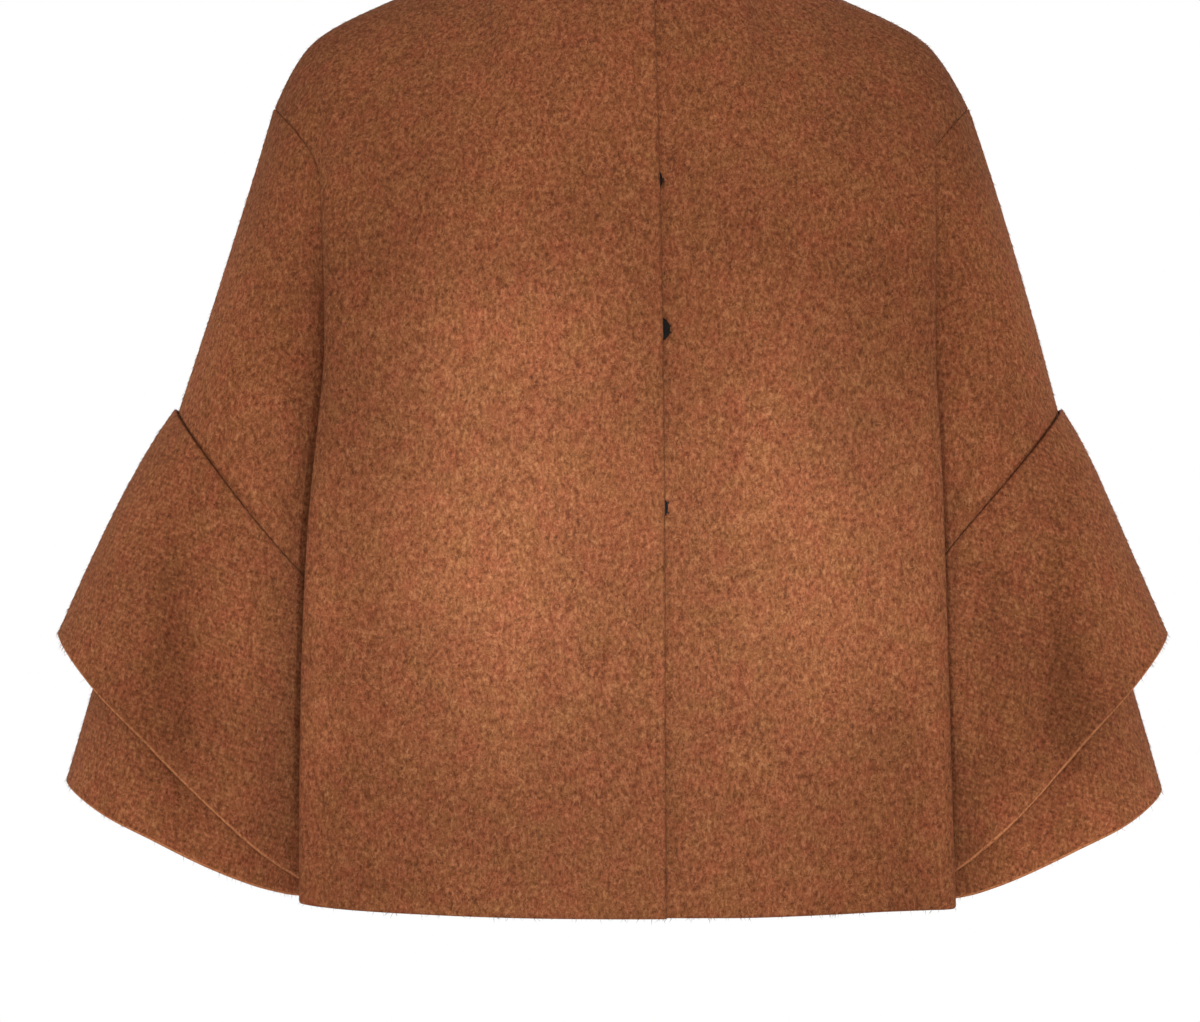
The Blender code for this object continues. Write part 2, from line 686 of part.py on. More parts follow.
def plain_material(name, colour, roughness, metallic):
    """A named Principled material."""
    material = bpy.data.materials.new(name)
    material.use_nodes = True
    shader = material.node_tree.nodes["Principled BSDF"]
    shader.inputs["Base Color"].default_value = (*colour, 1.0)
    shader.inputs["Roughness"].default_value = roughness
    shader.inputs["Metallic"].default_value = metallic
    return material


def cloth_pieces():
    """Every cloth piece, with shared directions at the seams."""
    top, left, right, bottom = (0, 0), (1, 0), (1, -1), (0, -1)
    pieces = [
        Piece("front_right", front_panel(-1.0), False, 1.0, [top, right]),
        Piece("front_left", front_panel(1.0), False, -1.0, [top, right]),
        Piece("back", back_panel(), False, 1.0, [top, left, right]),
        Piece("sleeve_right", sleeve(-1.0), True, -1.0, [top, bottom]),
        Piece("sleeve_left", sleeve(1.0), True, 1.0, [top, bottom]),
    ]
    share_seams(pieces)
    for side, name in ((-1.0, "right"), (1.0, "left")):
        upper = cuff_layer(side, UPPER_HEM, UPPER_DEPTH, 1.0, WALL + LAYER_GAP, SEAM_PUFF)
        lower = cuff_layer(side, LOWER_HEM, LOWER_DEPTH, LOWER_FLUTE_SHARE, 0.0, 0.0)
        pieces.append(Piece("flounce_" + name, upper, True, side, [top]))
        pieces.append(Piece("under_flounce_" + name, lower, True, side, [top]))
    slant = np.array(ELBOW_OUTER) - np.array(ELBOW_INNER)
    slant /= np.linalg.norm(slant)
    for piece in pieces[3:]:
        side = -1.0 if piece.name.endswith("right") else 1.0
        across = np.array((side * slant[1], 0.0, -slant[0]))
        flatten_ring(piece, -1 if piece.name.startswith("sleeve") else 0, across)
    return pieces


def turned(name, profile):
    """A turned piece from a profile of radius and height, about an axis along Y."""
    mesh = bpy.data.meshes.new(name)
    edges = [(i, i + 1) for i in range(len(profile) - 1)]
    mesh.from_pydata([(radius, 0.0, height) for radius, height in profile], edges, [])
    piece = bpy.data.objects.new(name, mesh)
    screw = piece.modifiers.new("turn", "SCREW")
    screw.steps = STUD_STEPS
    screw.render_steps = STUD_STEPS
    screw.use_merge_vertices = True
    screw.merge_threshold = 0.00001
    screw.use_smooth_shade = True
    return piece


def closing_face(grid, height, out):
    """The upper front's outer face near the closing: its depth and its slope back with height."""
    column = int(np.argmin(np.abs(grid[grid.shape[0] // 2, :, 0] - out)))
    heights = grid[::-1, column, 2]
    depths = grid[::-1, column, 1]
    low, here, high = np.interp((height - STUD_RADIUS, height, height + STUD_RADIUS), heights, depths)
    return float(min(here, (low + high) / 2)), float((high - low) / (2 * STUD_RADIUS))


def studs(collection, material):
    """Three closed press studs in the space between the overlapping fronts."""
    upper_front = front_panel(-1.0)
    for number, place in enumerate(STUDS, start=1):
        out = float(overlap_edge(place.height)) + place.past_edge - STUD_RADIUS
        depth, slope = closing_face(upper_front, place.height, out)
        lean = atan(slope)
        middle = depth + WALL / cos(lean) + CLOSING_GAP / 2
        half_space = CLOSING_GAP * cos(lean) / 2 - STUD_SEAT
        for name, profile, sign in (("ball", BALL_PROFILE, -1.0), ("socket", SOCKET_PROFILE, 1.0)):
            piece = turned("stud_%s_%d" % (name, number), profile)
            shift = sign * half_space
            piece.location = (out, middle + shift * cos(lean), place.height - shift * sin(lean))
            piece.rotation_euler = (sign * radians(90.0) - lean, 0.0, 0.0)
            piece.data.materials.append(material)
            collection.objects.link(piece)


def main():
    """Clears the file's objects and models the jacket."""
    for thing in list(bpy.data.objects):
        bpy.data.objects.remove(thing, do_unlink=True)
    collection = bpy.data.collections.new("spencer_jacket")
    bpy.context.scene.collection.children.link(collection)
    for piece in cloth_pieces():
        thing = bpy.data.objects.new(piece.name, wall_mesh(piece))
        thing.data.materials.append(plain_material(piece.name + "_cloth", CLOTH_COLOUR, 0.95, 0.0))
        collection.objects.link(thing)
    studs(collection, plain_material("stud_metal", STUD_COLOUR, 0.35, 0.8))


main()
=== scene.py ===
"""A short, boxy spencer jacket in brushed wool, worn by no one: looks around its solid pieces.

Metres, +Z up. The front faces -Y and +X is the viewer's right. Each cloth piece is a closed shell: a coarse
grid of points from the cut's sizes, made finer by smooth curves, with creases, hems and rolled edges, and a
nap of short fibres on top. The coarse grids are those of the solid pieces, which the shells replace.
"""

from collections import namedtuple
from math import atan, atan2, cos, pi, radians, sin

import bpy
import numpy as np
from mathutils import Matrix


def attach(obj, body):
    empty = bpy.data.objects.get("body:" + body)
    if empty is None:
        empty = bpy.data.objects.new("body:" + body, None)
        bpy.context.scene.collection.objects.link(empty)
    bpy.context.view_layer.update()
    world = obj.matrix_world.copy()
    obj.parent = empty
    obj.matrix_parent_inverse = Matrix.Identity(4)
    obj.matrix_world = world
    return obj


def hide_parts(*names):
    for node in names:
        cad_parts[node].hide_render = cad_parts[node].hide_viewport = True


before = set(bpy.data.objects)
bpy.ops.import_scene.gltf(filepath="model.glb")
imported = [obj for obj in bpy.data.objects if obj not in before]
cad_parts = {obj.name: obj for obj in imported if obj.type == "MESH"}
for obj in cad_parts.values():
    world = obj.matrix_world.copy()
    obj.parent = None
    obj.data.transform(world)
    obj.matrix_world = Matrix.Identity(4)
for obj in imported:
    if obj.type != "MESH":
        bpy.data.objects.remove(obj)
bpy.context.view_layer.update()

bl_info = {
    "name": "Spencer Jacket",
    "version": (1, 0, 0),
    "blender": (4, 5, 0),
    "location": "3D View > Sidebar > Jacket",
    "description": "Makes a short brushed-wool jacket with two-layer bell cuffs",
    "category": "Add Mesh",
}

BODY = "root"
TINY = 1e-12
LEAST_CHORD = 1e-6


def rows(kind, *values):
    """A table with rows of one kind."""
    return tuple(kind(*row) for row in values)


# Cloth and seams
WALL = 0.0025
LAYER_GAP = 0.0007
CLOSING_GAP = 0.0040
# Points this close lie on the same seam
SEAM_MATCH = 0.00005
# The least share of the cloth's normal in the direction that pieces have in common at a seam
LEAST_SQUARE = 0.55

# Rows from the shoulder line down to the underarm: how far each has turned down, and its armhole share
YokeRow = namedtuple("YokeRow", "turn armhole")
YOKE = rows(
    YokeRow,
    (0.000, 0.000),
    (0.120, 0.045),
    (0.240, 0.095),
    (0.360, 0.150),
    (0.470, 0.215),
    (0.570, 0.300),
    (0.670, 0.405),
    (0.760, 0.520),
    (0.845, 0.640),
    (0.920, 0.760),
    (0.970, 0.880),
    (1.000, 1.000),
)

# Coarse grids: rows down the body, columns across half the neck, steps along and round a sleeve and its cuff
YOKE_ROWS = len(YOKE) - 1
BODY_ROWS = 8
NECK_COLUMNS = 5
SLEEVE_STEPS = 6
SLEEVE_SIDES = 2 * YOKE_ROWS
FLOUNCE_STEPS = 6
FLOUNCE_SIDES = 2 * SLEEVE_SIDES

# Neck opening and the closing
NECK_HALF_WIDTH = 0.082
NECK_SIDE_DEPTH = 0.012
NECK_FRONT_DEPTH = -0.066
NECK_BACK_DEPTH = 0.062
NECK_FRONT_DROP = 0.031
NECK_BACK_DROP = 0.010
BODY_CENTRE = 0.006
OVERLAP_EDGE_TOP = 0.0214
OVERLAP_EDGE = 0.0252
OVERLAP_EDGE_HEM = 0.0277
OVERLAP_HEIGHTS = (-0.569, -0.200, -0.030)
UNDERLAP_EDGE = -0.013
CLOSING_RUN_OUT = 0.055

# Body levels below the armholes: half widths, and depths from the middle of the jacket
BodyLevel = namedtuple("BodyLevel", "height front bust fold fold_front back back_fold back_fold_depth side")
BODY_LEVELS = rows(
    BodyLevel,
    (-0.240, 0.1095, 0.0055, 0.1780, 0.0810, 0.1000, 0.1710, 0.0800, 0.1530),
    (-0.275, 0.1110, 0.0050, 0.1805, 0.0812, 0.1005, 0.1715, 0.0802, 0.1500),
    (-0.330, 0.1115, 0.0040, 0.1850, 0.0815, 0.1010, 0.1735, 0.0805, 0.1488),
    (-0.400, 0.1120, 0.0025, 0.1882, 0.0815, 0.1020, 0.1760, 0.0810, 0.1486),
    (-0.480, 0.1130, 0.0015, 0.1902, 0.0812, 0.1040, 0.1785, 0.0815, 0.1490),
    (-0.569, 0.1140, 0.0005, 0.1916, 0.0810, 0.1060, 0.1805, 0.0820, 0.1495),
)
HEM_HEIGHT = BODY_LEVELS[-1].height
BUST_OUT = 0.086
BUST_SPREAD = 0.046
BLADE_SWELL = 0.005
CHEST_POWER = 2.6
SWELL_POWER = 6
HEM_RISE = 0.0052
SIDE_SEAM_SHIFT = 0.004
SIDE_SEAM_RUN = 2.0
# How the rows turn from the shoulder line to the upright chest: later at the neck than at the side fold
TURN_POWER = 1.6
TURN_POWER_LOSS = 0.35
TURN_LOSS_RUN = 1.8

# The shoulder line from the neck to the top of the armhole
SeamPoint = namedtuple("SeamPoint", "out depth height")
SHOULDER = rows(
    SeamPoint,
    (0.0820, 0.0120, 0.0000),
    (0.1100, 0.0110, -0.0145),
    (0.1380, 0.0095, -0.0270),
    (0.1640, 0.0080, -0.0390),
    (0.1850, 0.0065, -0.0530),
    (0.1990, 0.0050, -0.0725),
    (0.2088, 0.0040, -0.0920),
)

# The armhole, from the top of the shoulder down to the underarm
FRONT_ARMHOLE = rows(
    SeamPoint,
    (0.2088, 0.0040, -0.0920),
    (0.2005, -0.0270, -0.1010),
    (0.1830, -0.0500, -0.1225),
    (0.1690, -0.0580, -0.1500),
    (0.1580, -0.0500, -0.1900),
    (0.1535, -0.0280, -0.2260),
    (0.1530, 0.0040, -0.2420),
)
BACK_ARMHOLE = rows(
    SeamPoint,
    (0.2088, 0.0040, -0.0920),
    (0.2015, 0.0330, -0.1020),
    (0.1850, 0.0520, -0.1270),
    (0.1690, 0.0590, -0.1580),
    (0.1580, 0.0530, -0.1940),
    (0.1535, 0.0310, -0.2270),
    (0.1530, 0.0040, -0.2420),
)

# Where the columns between the neck and the side fold lie, by share of the shoulder line and of the chest
ChestColumn = namedtuple("ChestColumn", "shoulder chest")
CHEST_COLUMNS = rows(
    ChestColumn,
    (0.00, 0.52),
    (0.22, 0.68),
    (0.43, 0.84),
    (0.59, 1.00),
)
# The side fold: the column just before its tip, and those behind it by their way along the cloth's return
FOLD_START_OUT = 0.0160
FOLD_START_DEPTH = 0.0108
FOLD_SHOULDER = 0.665
FOLD_OUT = 0.0045
FOLD_DEPTH = 0.0060
TIP_SHOULDER = 0.720
ReturnColumn = namedtuple("ReturnColumn", "shoulder way")
RETURN_COLUMNS = rows(
    ReturnColumn,
    (0.765, 0.12),
    (0.815, 0.28),
    (0.870, 0.50),
    (0.930, 0.74),
    (1.000, 1.00),
)
FOLD_LEAD = 0.012
FOLD_RUN = 0.022
FOLD_ROUND = 0.010
FOLD_PULL = 0.3
RETURN_TUCK = 0.0130
RETURN_PULL = 0.2
RETURN_DEPTH = 0.6
RETURN_HEIGHT = 0.3

# Elbow seam: the slanted ring where the sleeve ends and both cuff layers are set in
ELBOW_OUTER = (0.2636, -0.2745)
ELBOW_INNER = (0.1605, -0.3990)
ELBOW_DEPTH = 0.0720
ELBOW_EGG = 0.08
ELBOW_MIDDLE_DEPTH = 0.001
SLEEVE_SWELL = 0.003
OUTER_SWELL = 0.2
UNDERARM_SPREAD = 0.007
SPREAD_POWER = 0.55

# The two cuff layers. A hem is a line seen from the front, by its share from the outer corner inwards
HemPoint = namedtuple("HemPoint", "share out height")
UPPER_HEM = rows(
    HemPoint,
    (0.00, 0.3325, -0.4068),
    (0.15, 0.3060, -0.4360),
    (0.32, 0.2790, -0.4620),
    (0.50, 0.2483, -0.4968),
    (0.65, 0.2240, -0.5202),
    (0.80, 0.1985, -0.5440),
    (0.92, 0.1750, -0.5580),
    (1.00, 0.1595, -0.5600),
)
LOWER_HEM = rows(
    HemPoint,
    (0.00, 0.3282, -0.4975),
    (0.16, 0.3030, -0.5130),
    (0.34, 0.2746, -0.5262),
    (0.50, 0.2504, -0.5385),
    (0.66, 0.2260, -0.5500),
    (0.80, 0.2050, -0.5588),
    (0.92, 0.1840, -0.5632),
    (1.00, 0.1655, -0.5620),
)
Flute = namedtuple("Flute", "angle spread height")
FLUTES = rows(
    Flute,
    (26.0, 13.0, 0.0050),
    (61.0, 14.0, 0.0090),
    (106.0, 15.0, 0.0105),
    (-20.0, 13.0, 0.0060),
    (-58.0, 15.0, 0.0100),
    (-84.0, 11.0, 0.0070),
    (-116.0, 14.0, 0.0095),
)
# Each layer's hem, its depth there, its share of the flutes, how far outside the elbow seam's ring it starts,
# and how far it puffs out below the seam
CuffLayer = namedtuple("CuffLayer", "name hem depth flutes lift puff")
CUFF_LAYERS = rows(
    CuffLayer,
    ("flounce", UPPER_HEM, 0.0850, 1.0, WALL + LAYER_GAP, 0.0042),
    ("under_flounce", LOWER_HEM, 0.0790, 0.45, 0.0, 0.0),
)
CUFF_EGG = 0.24
CUFF_ROW_POWER = 1.25
PUFF_POWER = 7
FLUTE_POWER = 1.6

# Soft folds in the bell cuffs, seen from the front: both ends of each fold's line, its half width, and its
# depth into the cloth, below 0 for a ridge. Distances are those from the middle out to either side
Fold = namedtuple("Fold", "x1 z1 x2 z2 spread depth")
RIGHT_FRONT_FOLDS = rows(
    Fold,
    (0.252, -0.305, 0.242, -0.505, 0.0170, 0.0086),
    (0.290, -0.290, 0.300, -0.440, 0.0150, -0.0020),
    (0.214, -0.355, 0.214, -0.520, 0.0120, -0.0032),
)
LEFT_FRONT_FOLDS = rows(
    Fold,
    (0.253, -0.290, 0.252, -0.490, 0.0135, 0.0074),
    (0.215, -0.350, 0.212, -0.500, 0.0100, 0.0054),
    (0.235, -0.330, 0.234, -0.480, 0.0090, -0.0022),
    (0.286, -0.295, 0.294, -0.440, 0.0140, -0.0026),
)
BACK_FOLDS = rows(
    Fold,
    (0.264, -0.295, 0.272, -0.480, 0.0135, 0.0060),
    (0.224, -0.345, 0.220, -0.500, 0.0110, 0.0045),
    (0.243, -0.330, 0.245, -0.480, 0.0110, -0.0018),
)
FOLD_FADE = 3.0
CUFF_FOLD_START = 3.5

# The arms hang a little askew: how far they are moved to the viewer's right at each height
Skew = namedtuple("Skew", "height shift")
ARM_SKEW = rows(
    Skew,
    (-0.560, -0.0010),
    (-0.490, -0.0025),
    (-0.420, -0.0032),
    (-0.340, -0.0025),
    (-0.280, 0.0000),
    (-0.200, 0.0022),
    (-0.120, 0.0026),
    (-0.060, 0.0012),
    (0.000, 0.0000),
)
SKEW_START = 0.150
SKEW_RUN = 0.060
HEM_TILT = 0.010
HEM_TILT_TOP = -0.440
HEM_TILT_RUN = 0.080

# Press studs, the stitches that hold them, and the profiles of their halves from the tip to the seat
STUD_RADIUS = 0.0075
STUD_SEAT = 0.0003
STUD_STEPS = 40
STUD_SHARP_ANGLE = 35.0
STITCHES = 4
STITCH_SIDES = 8
STITCH_WIDE = 0.00035
STITCH_TIP = 0.7
STITCH_FLAT = 1.8
STITCH_THIN = 0.6
STITCH_TURN = 0.12
ProfilePoint = namedtuple("ProfilePoint", "radius height")
BALL_PROFILE = rows(
    ProfilePoint,
    (0.0000, 0.0022),
    (0.0009, 0.0022),
    (0.0015, 0.0021),
    (0.0019, 0.0017),
    (0.0017, 0.0011),
    (0.0063, 0.0010),
    (0.0071, 0.0008),
    (0.0075, 0.0005),
    (0.0073, 0.0000),
    (0.0000, 0.0000),
)
SOCKET_PROFILE = rows(
    ProfilePoint,
    (0.0000, 0.0005),
    (0.0022, 0.0005),
    (0.0024, 0.0008),
    (0.0025, 0.0015),
    (0.0044, 0.0015),
    (0.0048, 0.0012),
    (0.0065, 0.0009),
    (0.0071, 0.0007),
    (0.0073, 0.0004),
    (0.0071, 0.0000),
    (0.0000, 0.0000),
)
# Each stud's height, and how far its rim stands past the overlap's edge
StudPlace = namedtuple("StudPlace", "height past_edge")
STUDS = rows(StudPlace, (-0.1420, 0.0014), (-0.2286, 0.0040), (-0.3317, 0.0018))

# Where a stitch runs, from inside the rim over it and into the cloth
STITCH_PATH = rows(
    ProfilePoint,
    (0.0054, 0.0000),
    (0.0057, 0.0012),
    (0.0070, 0.0017),
    (0.0082, 0.0012),
    (0.0086, -0.0004),
)

# Finer cloth: steps between two coarse rows and between two coarse columns, steps round a rolled edge, and
# how far an edge stays back from its line, where it is free and where it is sewn
BODY_FINE = (6, 5)
SLEEVE_FINE = (7, 6)
CUFF_FINE = (7, 3)
ROLL_STEPS = 3
ROLL_SPACE = 0.00012
SEWN_SPACE = 0.00005
# The turned hem and the turned closing edge: how thick the cloth is there, and how far the turn reaches
HEM_WALL = 0.0042
HEM_DEEP = 0.012
CLOSING_WALL = 0.0042
CLOSING_DEEP = 0.008

# Fibres of the nap: how far they swing aside, the least they stand off, the spans of their shares in the
# common length and width, how much higher than wide they are, and how deep they are rooted
NAP_SWING = 0.75
NAP_LEAST_STAND = 0.06
NAP_LENGTHS = (0.5, 1.4)
NAP_WIDE = 0.00012
NAP_WIDTHS = (0.7, 1.3)
NAP_HIGH = 1.6
NAP_ROOT = 0.0002
NAP_SEED = 11
# A fibre's faces, and where its four corners lie in its cell of the map
NAP_FACES = ((0, 1, 3), (1, 2, 3), (2, 0, 3), (0, 2, 1))
NAP_MAP = ((0.15, 0.1), (0.85, 0.1), (0.5, 0.35), (0.5, 0.9))

# The cut of each piece: width, length and area on the flat, in metres and square metres
SQUARE_CENTIMETRES = 10000
Cut = namedtuple("Cut", "width length area")
CUTS = {
    "front": Cut(0.322, 0.596, 0.160),
    "back": Cut(0.541, 0.596, 0.273),
    "sleeve": Cut(0.480, 0.210, 0.0675),
    "flounce": Cut(0.665, 0.171, 0.0863),
    "under_flounce": Cut(0.540, 0.235, 0.0962),
}

# Soft creases in the body and sleeves, like the folds of the cuffs
FRONT_CREASES = rows(
    Fold,
    (-0.176, -0.100, -0.140, -0.230, 0.0100, 0.0016),
    (-0.120, -0.300, -0.108, -0.560, 0.0160, 0.0011),
    (-0.060, -0.360, -0.052, -0.569, 0.0200, -0.0012),
    (-0.150, -0.400, -0.158, -0.560, 0.0120, -0.0010),
    (0.062, -0.330, 0.070, -0.569, 0.0180, -0.0012),
    (0.112, -0.290, 0.120, -0.569, 0.0160, 0.0011),
    (0.184, -0.098, 0.170, -0.150, 0.0080, 0.0018),
    (0.170, -0.150, 0.140, -0.240, 0.0110, 0.0014),
    (0.156, -0.420, 0.160, -0.560, 0.0110, -0.0010),
)
BACK_CREASES = rows(
    Fold,
    (-0.172, -0.105, -0.130, -0.220, 0.0120, 0.0016),
    (0.178, -0.105, 0.134, -0.235, 0.0120, 0.0018),
    (-0.100, -0.260, -0.092, -0.560, 0.0170, 0.0014),
    (-0.030, -0.340, -0.036, -0.569, 0.0200, -0.0013),
    (0.048, -0.300, 0.056, -0.569, 0.0180, 0.0012),
    (0.118, -0.360, 0.122, -0.560, 0.0150, -0.0013),
    (-0.148, -0.380, -0.152, -0.560, 0.0130, -0.0011),
)
SLEEVE_CREASES = rows(
    Fold,
    (0.196, -0.180, 0.178, -0.330, 0.0110, 0.0016),
    (0.232, -0.200, 0.236, -0.290, 0.0120, -0.0010),
    (0.206, -0.270, 0.186, -0.360, 0.0090, 0.0013),
    (0.204, -0.325, 0.190, -0.350, 0.0050, -0.0014),
    (0.216, -0.300, 0.206, -0.325, 0.0050, -0.0012),
)

# The creases of each cut, with the way that the creased cloth faces: -1 to the front and 1 to the back
CREASES = {
    "front": ((FRONT_CREASES, -1.0),),
    "back": ((BACK_CREASES, 1.0),),
    "sleeve": ((SLEEVE_CREASES, -1.0), (SLEEVE_CREASES, 1.0)),
}
FACING_RISE = 2.5
FACING_START = 0.2

# Noise in the looks: its scale, detail and roughness, and how far it is bent
Noise = namedtuple("Noise", "scale detail rough bend")
CLOUDS = Noise(14.0, 2.0, 0.5, 0.0)
HUES = Noise(75.0, 3.0, 0.6, 0.0)
GRAIN = Noise(430.0, 3.0, 0.75, 0.0)
DOTS = Noise(520.0, 1.0, 0.5, 0.0)
CURLS = Noise(210.0, 2.0, 0.5, 0.6)
DARK_CURLS = Noise(260.0, 1.0, 0.5, 0.0)
FUZZ = Noise(700.0, 3.0, 0.7, 0.0)
WEAR = Noise(900.0, 3.0, 0.6, 0.0)
TWIST = Noise(2600.0, 1.0, 0.5, 0.0)
FLOOR_GRAIN = Noise(40.0, 4.0, 0.6, 0.0)

# Where the colours of a ramp lie
GRAIN_PLACES = (0.29, 0.44, 0.56, 0.72)
HUE_PLACES = (0.34, 0.50, 0.66)
TONE_PLACES = (0.00, 0.22, 0.45, 0.95)
RAW_PLACES = (0.34, 0.50, 0.68)
FLOOR_PLACES = (0.3, 0.7)
FLOOR_COLOURS = ((0.80, 0.80, 0.79), (0.86, 0.86, 0.85))
WHITE = (1.0, 1.0, 1.0)

# Smooth steps: from two limits of a value, and to two results where they aren't 0 and 1
DOT_STEP = (0.58, 0.72, 0.00, 0.46)
CLOUD_STEP = (0.30, 0.72, 0.92, 1.07)
TWILL_STEP = (0.2, 0.8)
WEAR_STEP = (0.62, 0.75)
GLOSS_STEP = (0.30, 0.70, 0.32, 0.50)
TWIST_STEP = (0.35, 0.65)
FAR_WALL_STEP = (0.86, 0.975)
WORN_LIGHTER = 3.0
WORN_LEAST = 0.01
TWIST_DARKER = 0.3

# The cloth's direction: how its grain and its darker hairs are stretched and lean, and the twill's slant
STREAKS = ((1.0, 1.0, 0.72), (0.0, 0.10, 0.0))
HAIR_STREAKS = ((1.0, 1.0, 0.6), (0.0, -0.4, 0.0))
FUZZ_STREAKS = ((1.0, 1.0, 0.7), (0.0, 0.0, 0.0))
TWIST_STREAKS = ((1.0, 1.0, 0.4), (0.0, 0.0, 0.0))
TWILL_LINES = (WHITE, (0.0, radians(70.0), 0.0))
TWILL_WAVE = {"Scale": 105.0, "Distortion": 2.5, "Detail": 1.5, "Detail Scale": 1.4}
TWILL_DARK = 0.12
TWILL_LIGHT = 0.04

# Curled hairs: half the width of their lines, and how strongly they show
LIGHT_HAIRS = (0.022, 0.62)
DARK_HAIRS = (0.016, 0.45)
RAISED_HAIRS = (0.030, 1.0)

# Shares of the grain, the hairs and the twill in the cloth's relief, and its height
GRAIN_RELIEF = 0.7
HAIR_RELIEF = 0.25
TWILL_RELIEF = 0.35
RELIEF_STRENGTH = 0.5
WOOL_RELIEF = 0.0010
RAW_RELIEF = 0.0006

# Camera, floor and room
CAMERA_OUT = -0.0108
CAMERA_HEIGHT = -0.3336
SENSOR_WIDTH = 36.0
FLOOR_RADIUS = 2.6
FLOOR_SIDES = 96
ROOM_TINT = (1.03, 0.975, 0.94)
SPOT_BLEND = 0.7
# What a wholly cool lamp adds to each part of its white light
COOL = (-0.10, 0.06, 0.12)

# Soft lamps: place, the point in the jacket's plane that each faces, size and power, and for a spot its cone
# in degrees, how much taller than wide its pool of light is, and how cool its light is
Lamp = namedtuple("Lamp", "name x y z to_x to_z size power cone tall cool")
LAMPS = rows(
    Lamp,
    ("pool", -0.080, -2.40, -0.560, 0.013, -0.363, 0.20, 38.0, 8.6, 1.2, 1.0),
    ("pool_left", -0.120, -2.40, -0.420, -0.064, -0.318, 0.10, 118.0, 4.2, 1.9, 1.0),
    ("pool_right", 0.107, -2.40, -0.420, 0.103, -0.348, 0.10, 106.0, 4.0, 1.8, 1.0),
    ("low_wide", 0.000, -2.40, -0.700, 0.000, -0.510, 0.20, 56.0, 10.2, 1.0, 1.0),
    ("chest", 0.000, -2.30, 0.500, 0.005, -0.085, 0.20, 51.0, 12.0, 1.0, 0.0),
    ("arm_left", 0.350, -2.40, -0.420, -0.217, -0.385, 0.05, 82.0, 1.8, 4.1, 0.5),
    ("arm_right", -0.350, -2.40, -0.420, 0.219, -0.385, 0.05, 54.0, 1.9, 3.9, 0.5),
    ("cuff_left", -0.100, -2.40, -0.750, -0.262, -0.545, 0.05, 54.0, 4.2, 1.0, 0.0),
    ("cuff_right", 0.100, -2.40, -0.750, 0.262, -0.545, 0.05, 70.0, 4.2, 1.0, 0.0),
    ("side_left", -1.900, -0.80, -0.150, -0.262, -0.350, 0.10, 50.0, 7.0, 2.8, 0.0),
    ("side_right", 1.900, -0.80, -0.150, 0.262, -0.350, 0.10, 51.0, 7.0, 2.8, 0.0),
    ("front", 0.000, -2.60, -0.200, 0.000, -0.350, 1.00, 15.0, 0.0, 1.0, 0.0),
    ("rear", 0.400, 2.40, 0.600, 0.000, -0.350, 1.20, 20.0, 0.0, 1.0, 0.0),
)


def cubic(t, start, end, start_slope, end_slope):
    """A smooth blend between two values with slopes at its ends, at the share t of the way."""
    first = (2 * t**3 - 3 * t**2 + 1) * start + (t**3 - 2 * t**2 + t) * start_slope
    return first + (3 * t**2 - 2 * t**3) * end + (t**3 - t**2) * end_slope


def curve(knots, values, at):
    """A smooth curve through values at the knots, read at the places asked for."""
    knots = np.asarray(knots, float)
    values = np.asarray(values, float)
    at = np.clip(np.asarray(at, float), knots[0], knots[-1])
    slope = np.gradient(values, knots, axis=0)
    i = np.clip(np.searchsorted(knots, at, side="right") - 1, 0, len(knots) - 2)
    step = knots[i + 1] - knots[i]
    t = (at - knots[i]) / step
    if values.ndim > 1:
        t = t[..., None]
        step = step[..., None]
    return cubic(t, values[i], values[i + 1], step * slope[i], step * slope[i + 1])


def angles_round(count):
    """Angles that share out a full turn."""
    return np.linspace(0.0, 2 * pi, count, endpoint=False)


def unit(vectors):
    """The same directions with a length of 1."""
    return vectors / np.maximum(np.linalg.norm(vectors, axis=-1, keepdims=True), TINY)


def along(points, shares):
    """Points at the given shares of a smooth line's length."""
    points = np.array([tuple(p) for p in points], float)
    length = np.concatenate(([0.0], np.cumsum(np.linalg.norm(np.diff(points, axis=0), axis=1))))
    return curve(length / length[-1], points, shares)


def ease(t):
    """A smooth step from 0 to 1."""
    t = np.clip(t, 0.0, 1.0)
    return t * t * (3.0 - 2.0 * t)


def level(height):
    """The body's sizes at one height, as a BodyLevel."""
    rows = BODY_LEVELS[::-1]
    knots = [row.height for row in rows]
    return BodyLevel(*curve(knots, rows, np.array([height]))[0])


def armhole(points):
    """One side's armhole line, a point for each yoke row."""
    return along(points, [row.armhole for row in YOKE])


def hem_height(out):
    """The hem's height, a little lower at the centre than at the sides."""
    return HEM_HEIGHT + HEM_RISE * (out / BODY_LEVELS[-1].fold) ** 2


def overlap_edge(height):
    """Where the upper front's closing edge lies."""
    return curve(OVERLAP_HEIGHTS, (OVERLAP_EDGE_HEM, OVERLAP_EDGE, OVERLAP_EDGE_TOP), height)


def panel_depth(middle, bust, out, fold_out, fold_depth):
    """A panel's depth at distances from the body's centre, up to where its side fold starts."""
    share = np.clip(np.abs(out) / fold_out, 0.0, 1.0)
    swell = bust * np.exp(-(((np.abs(out) - BUST_OUT) / BUST_SPREAD) ** 2))
    return middle + (fold_depth - middle) * share**CHEST_POWER + swell * (1.0 - share**SWELL_POWER)


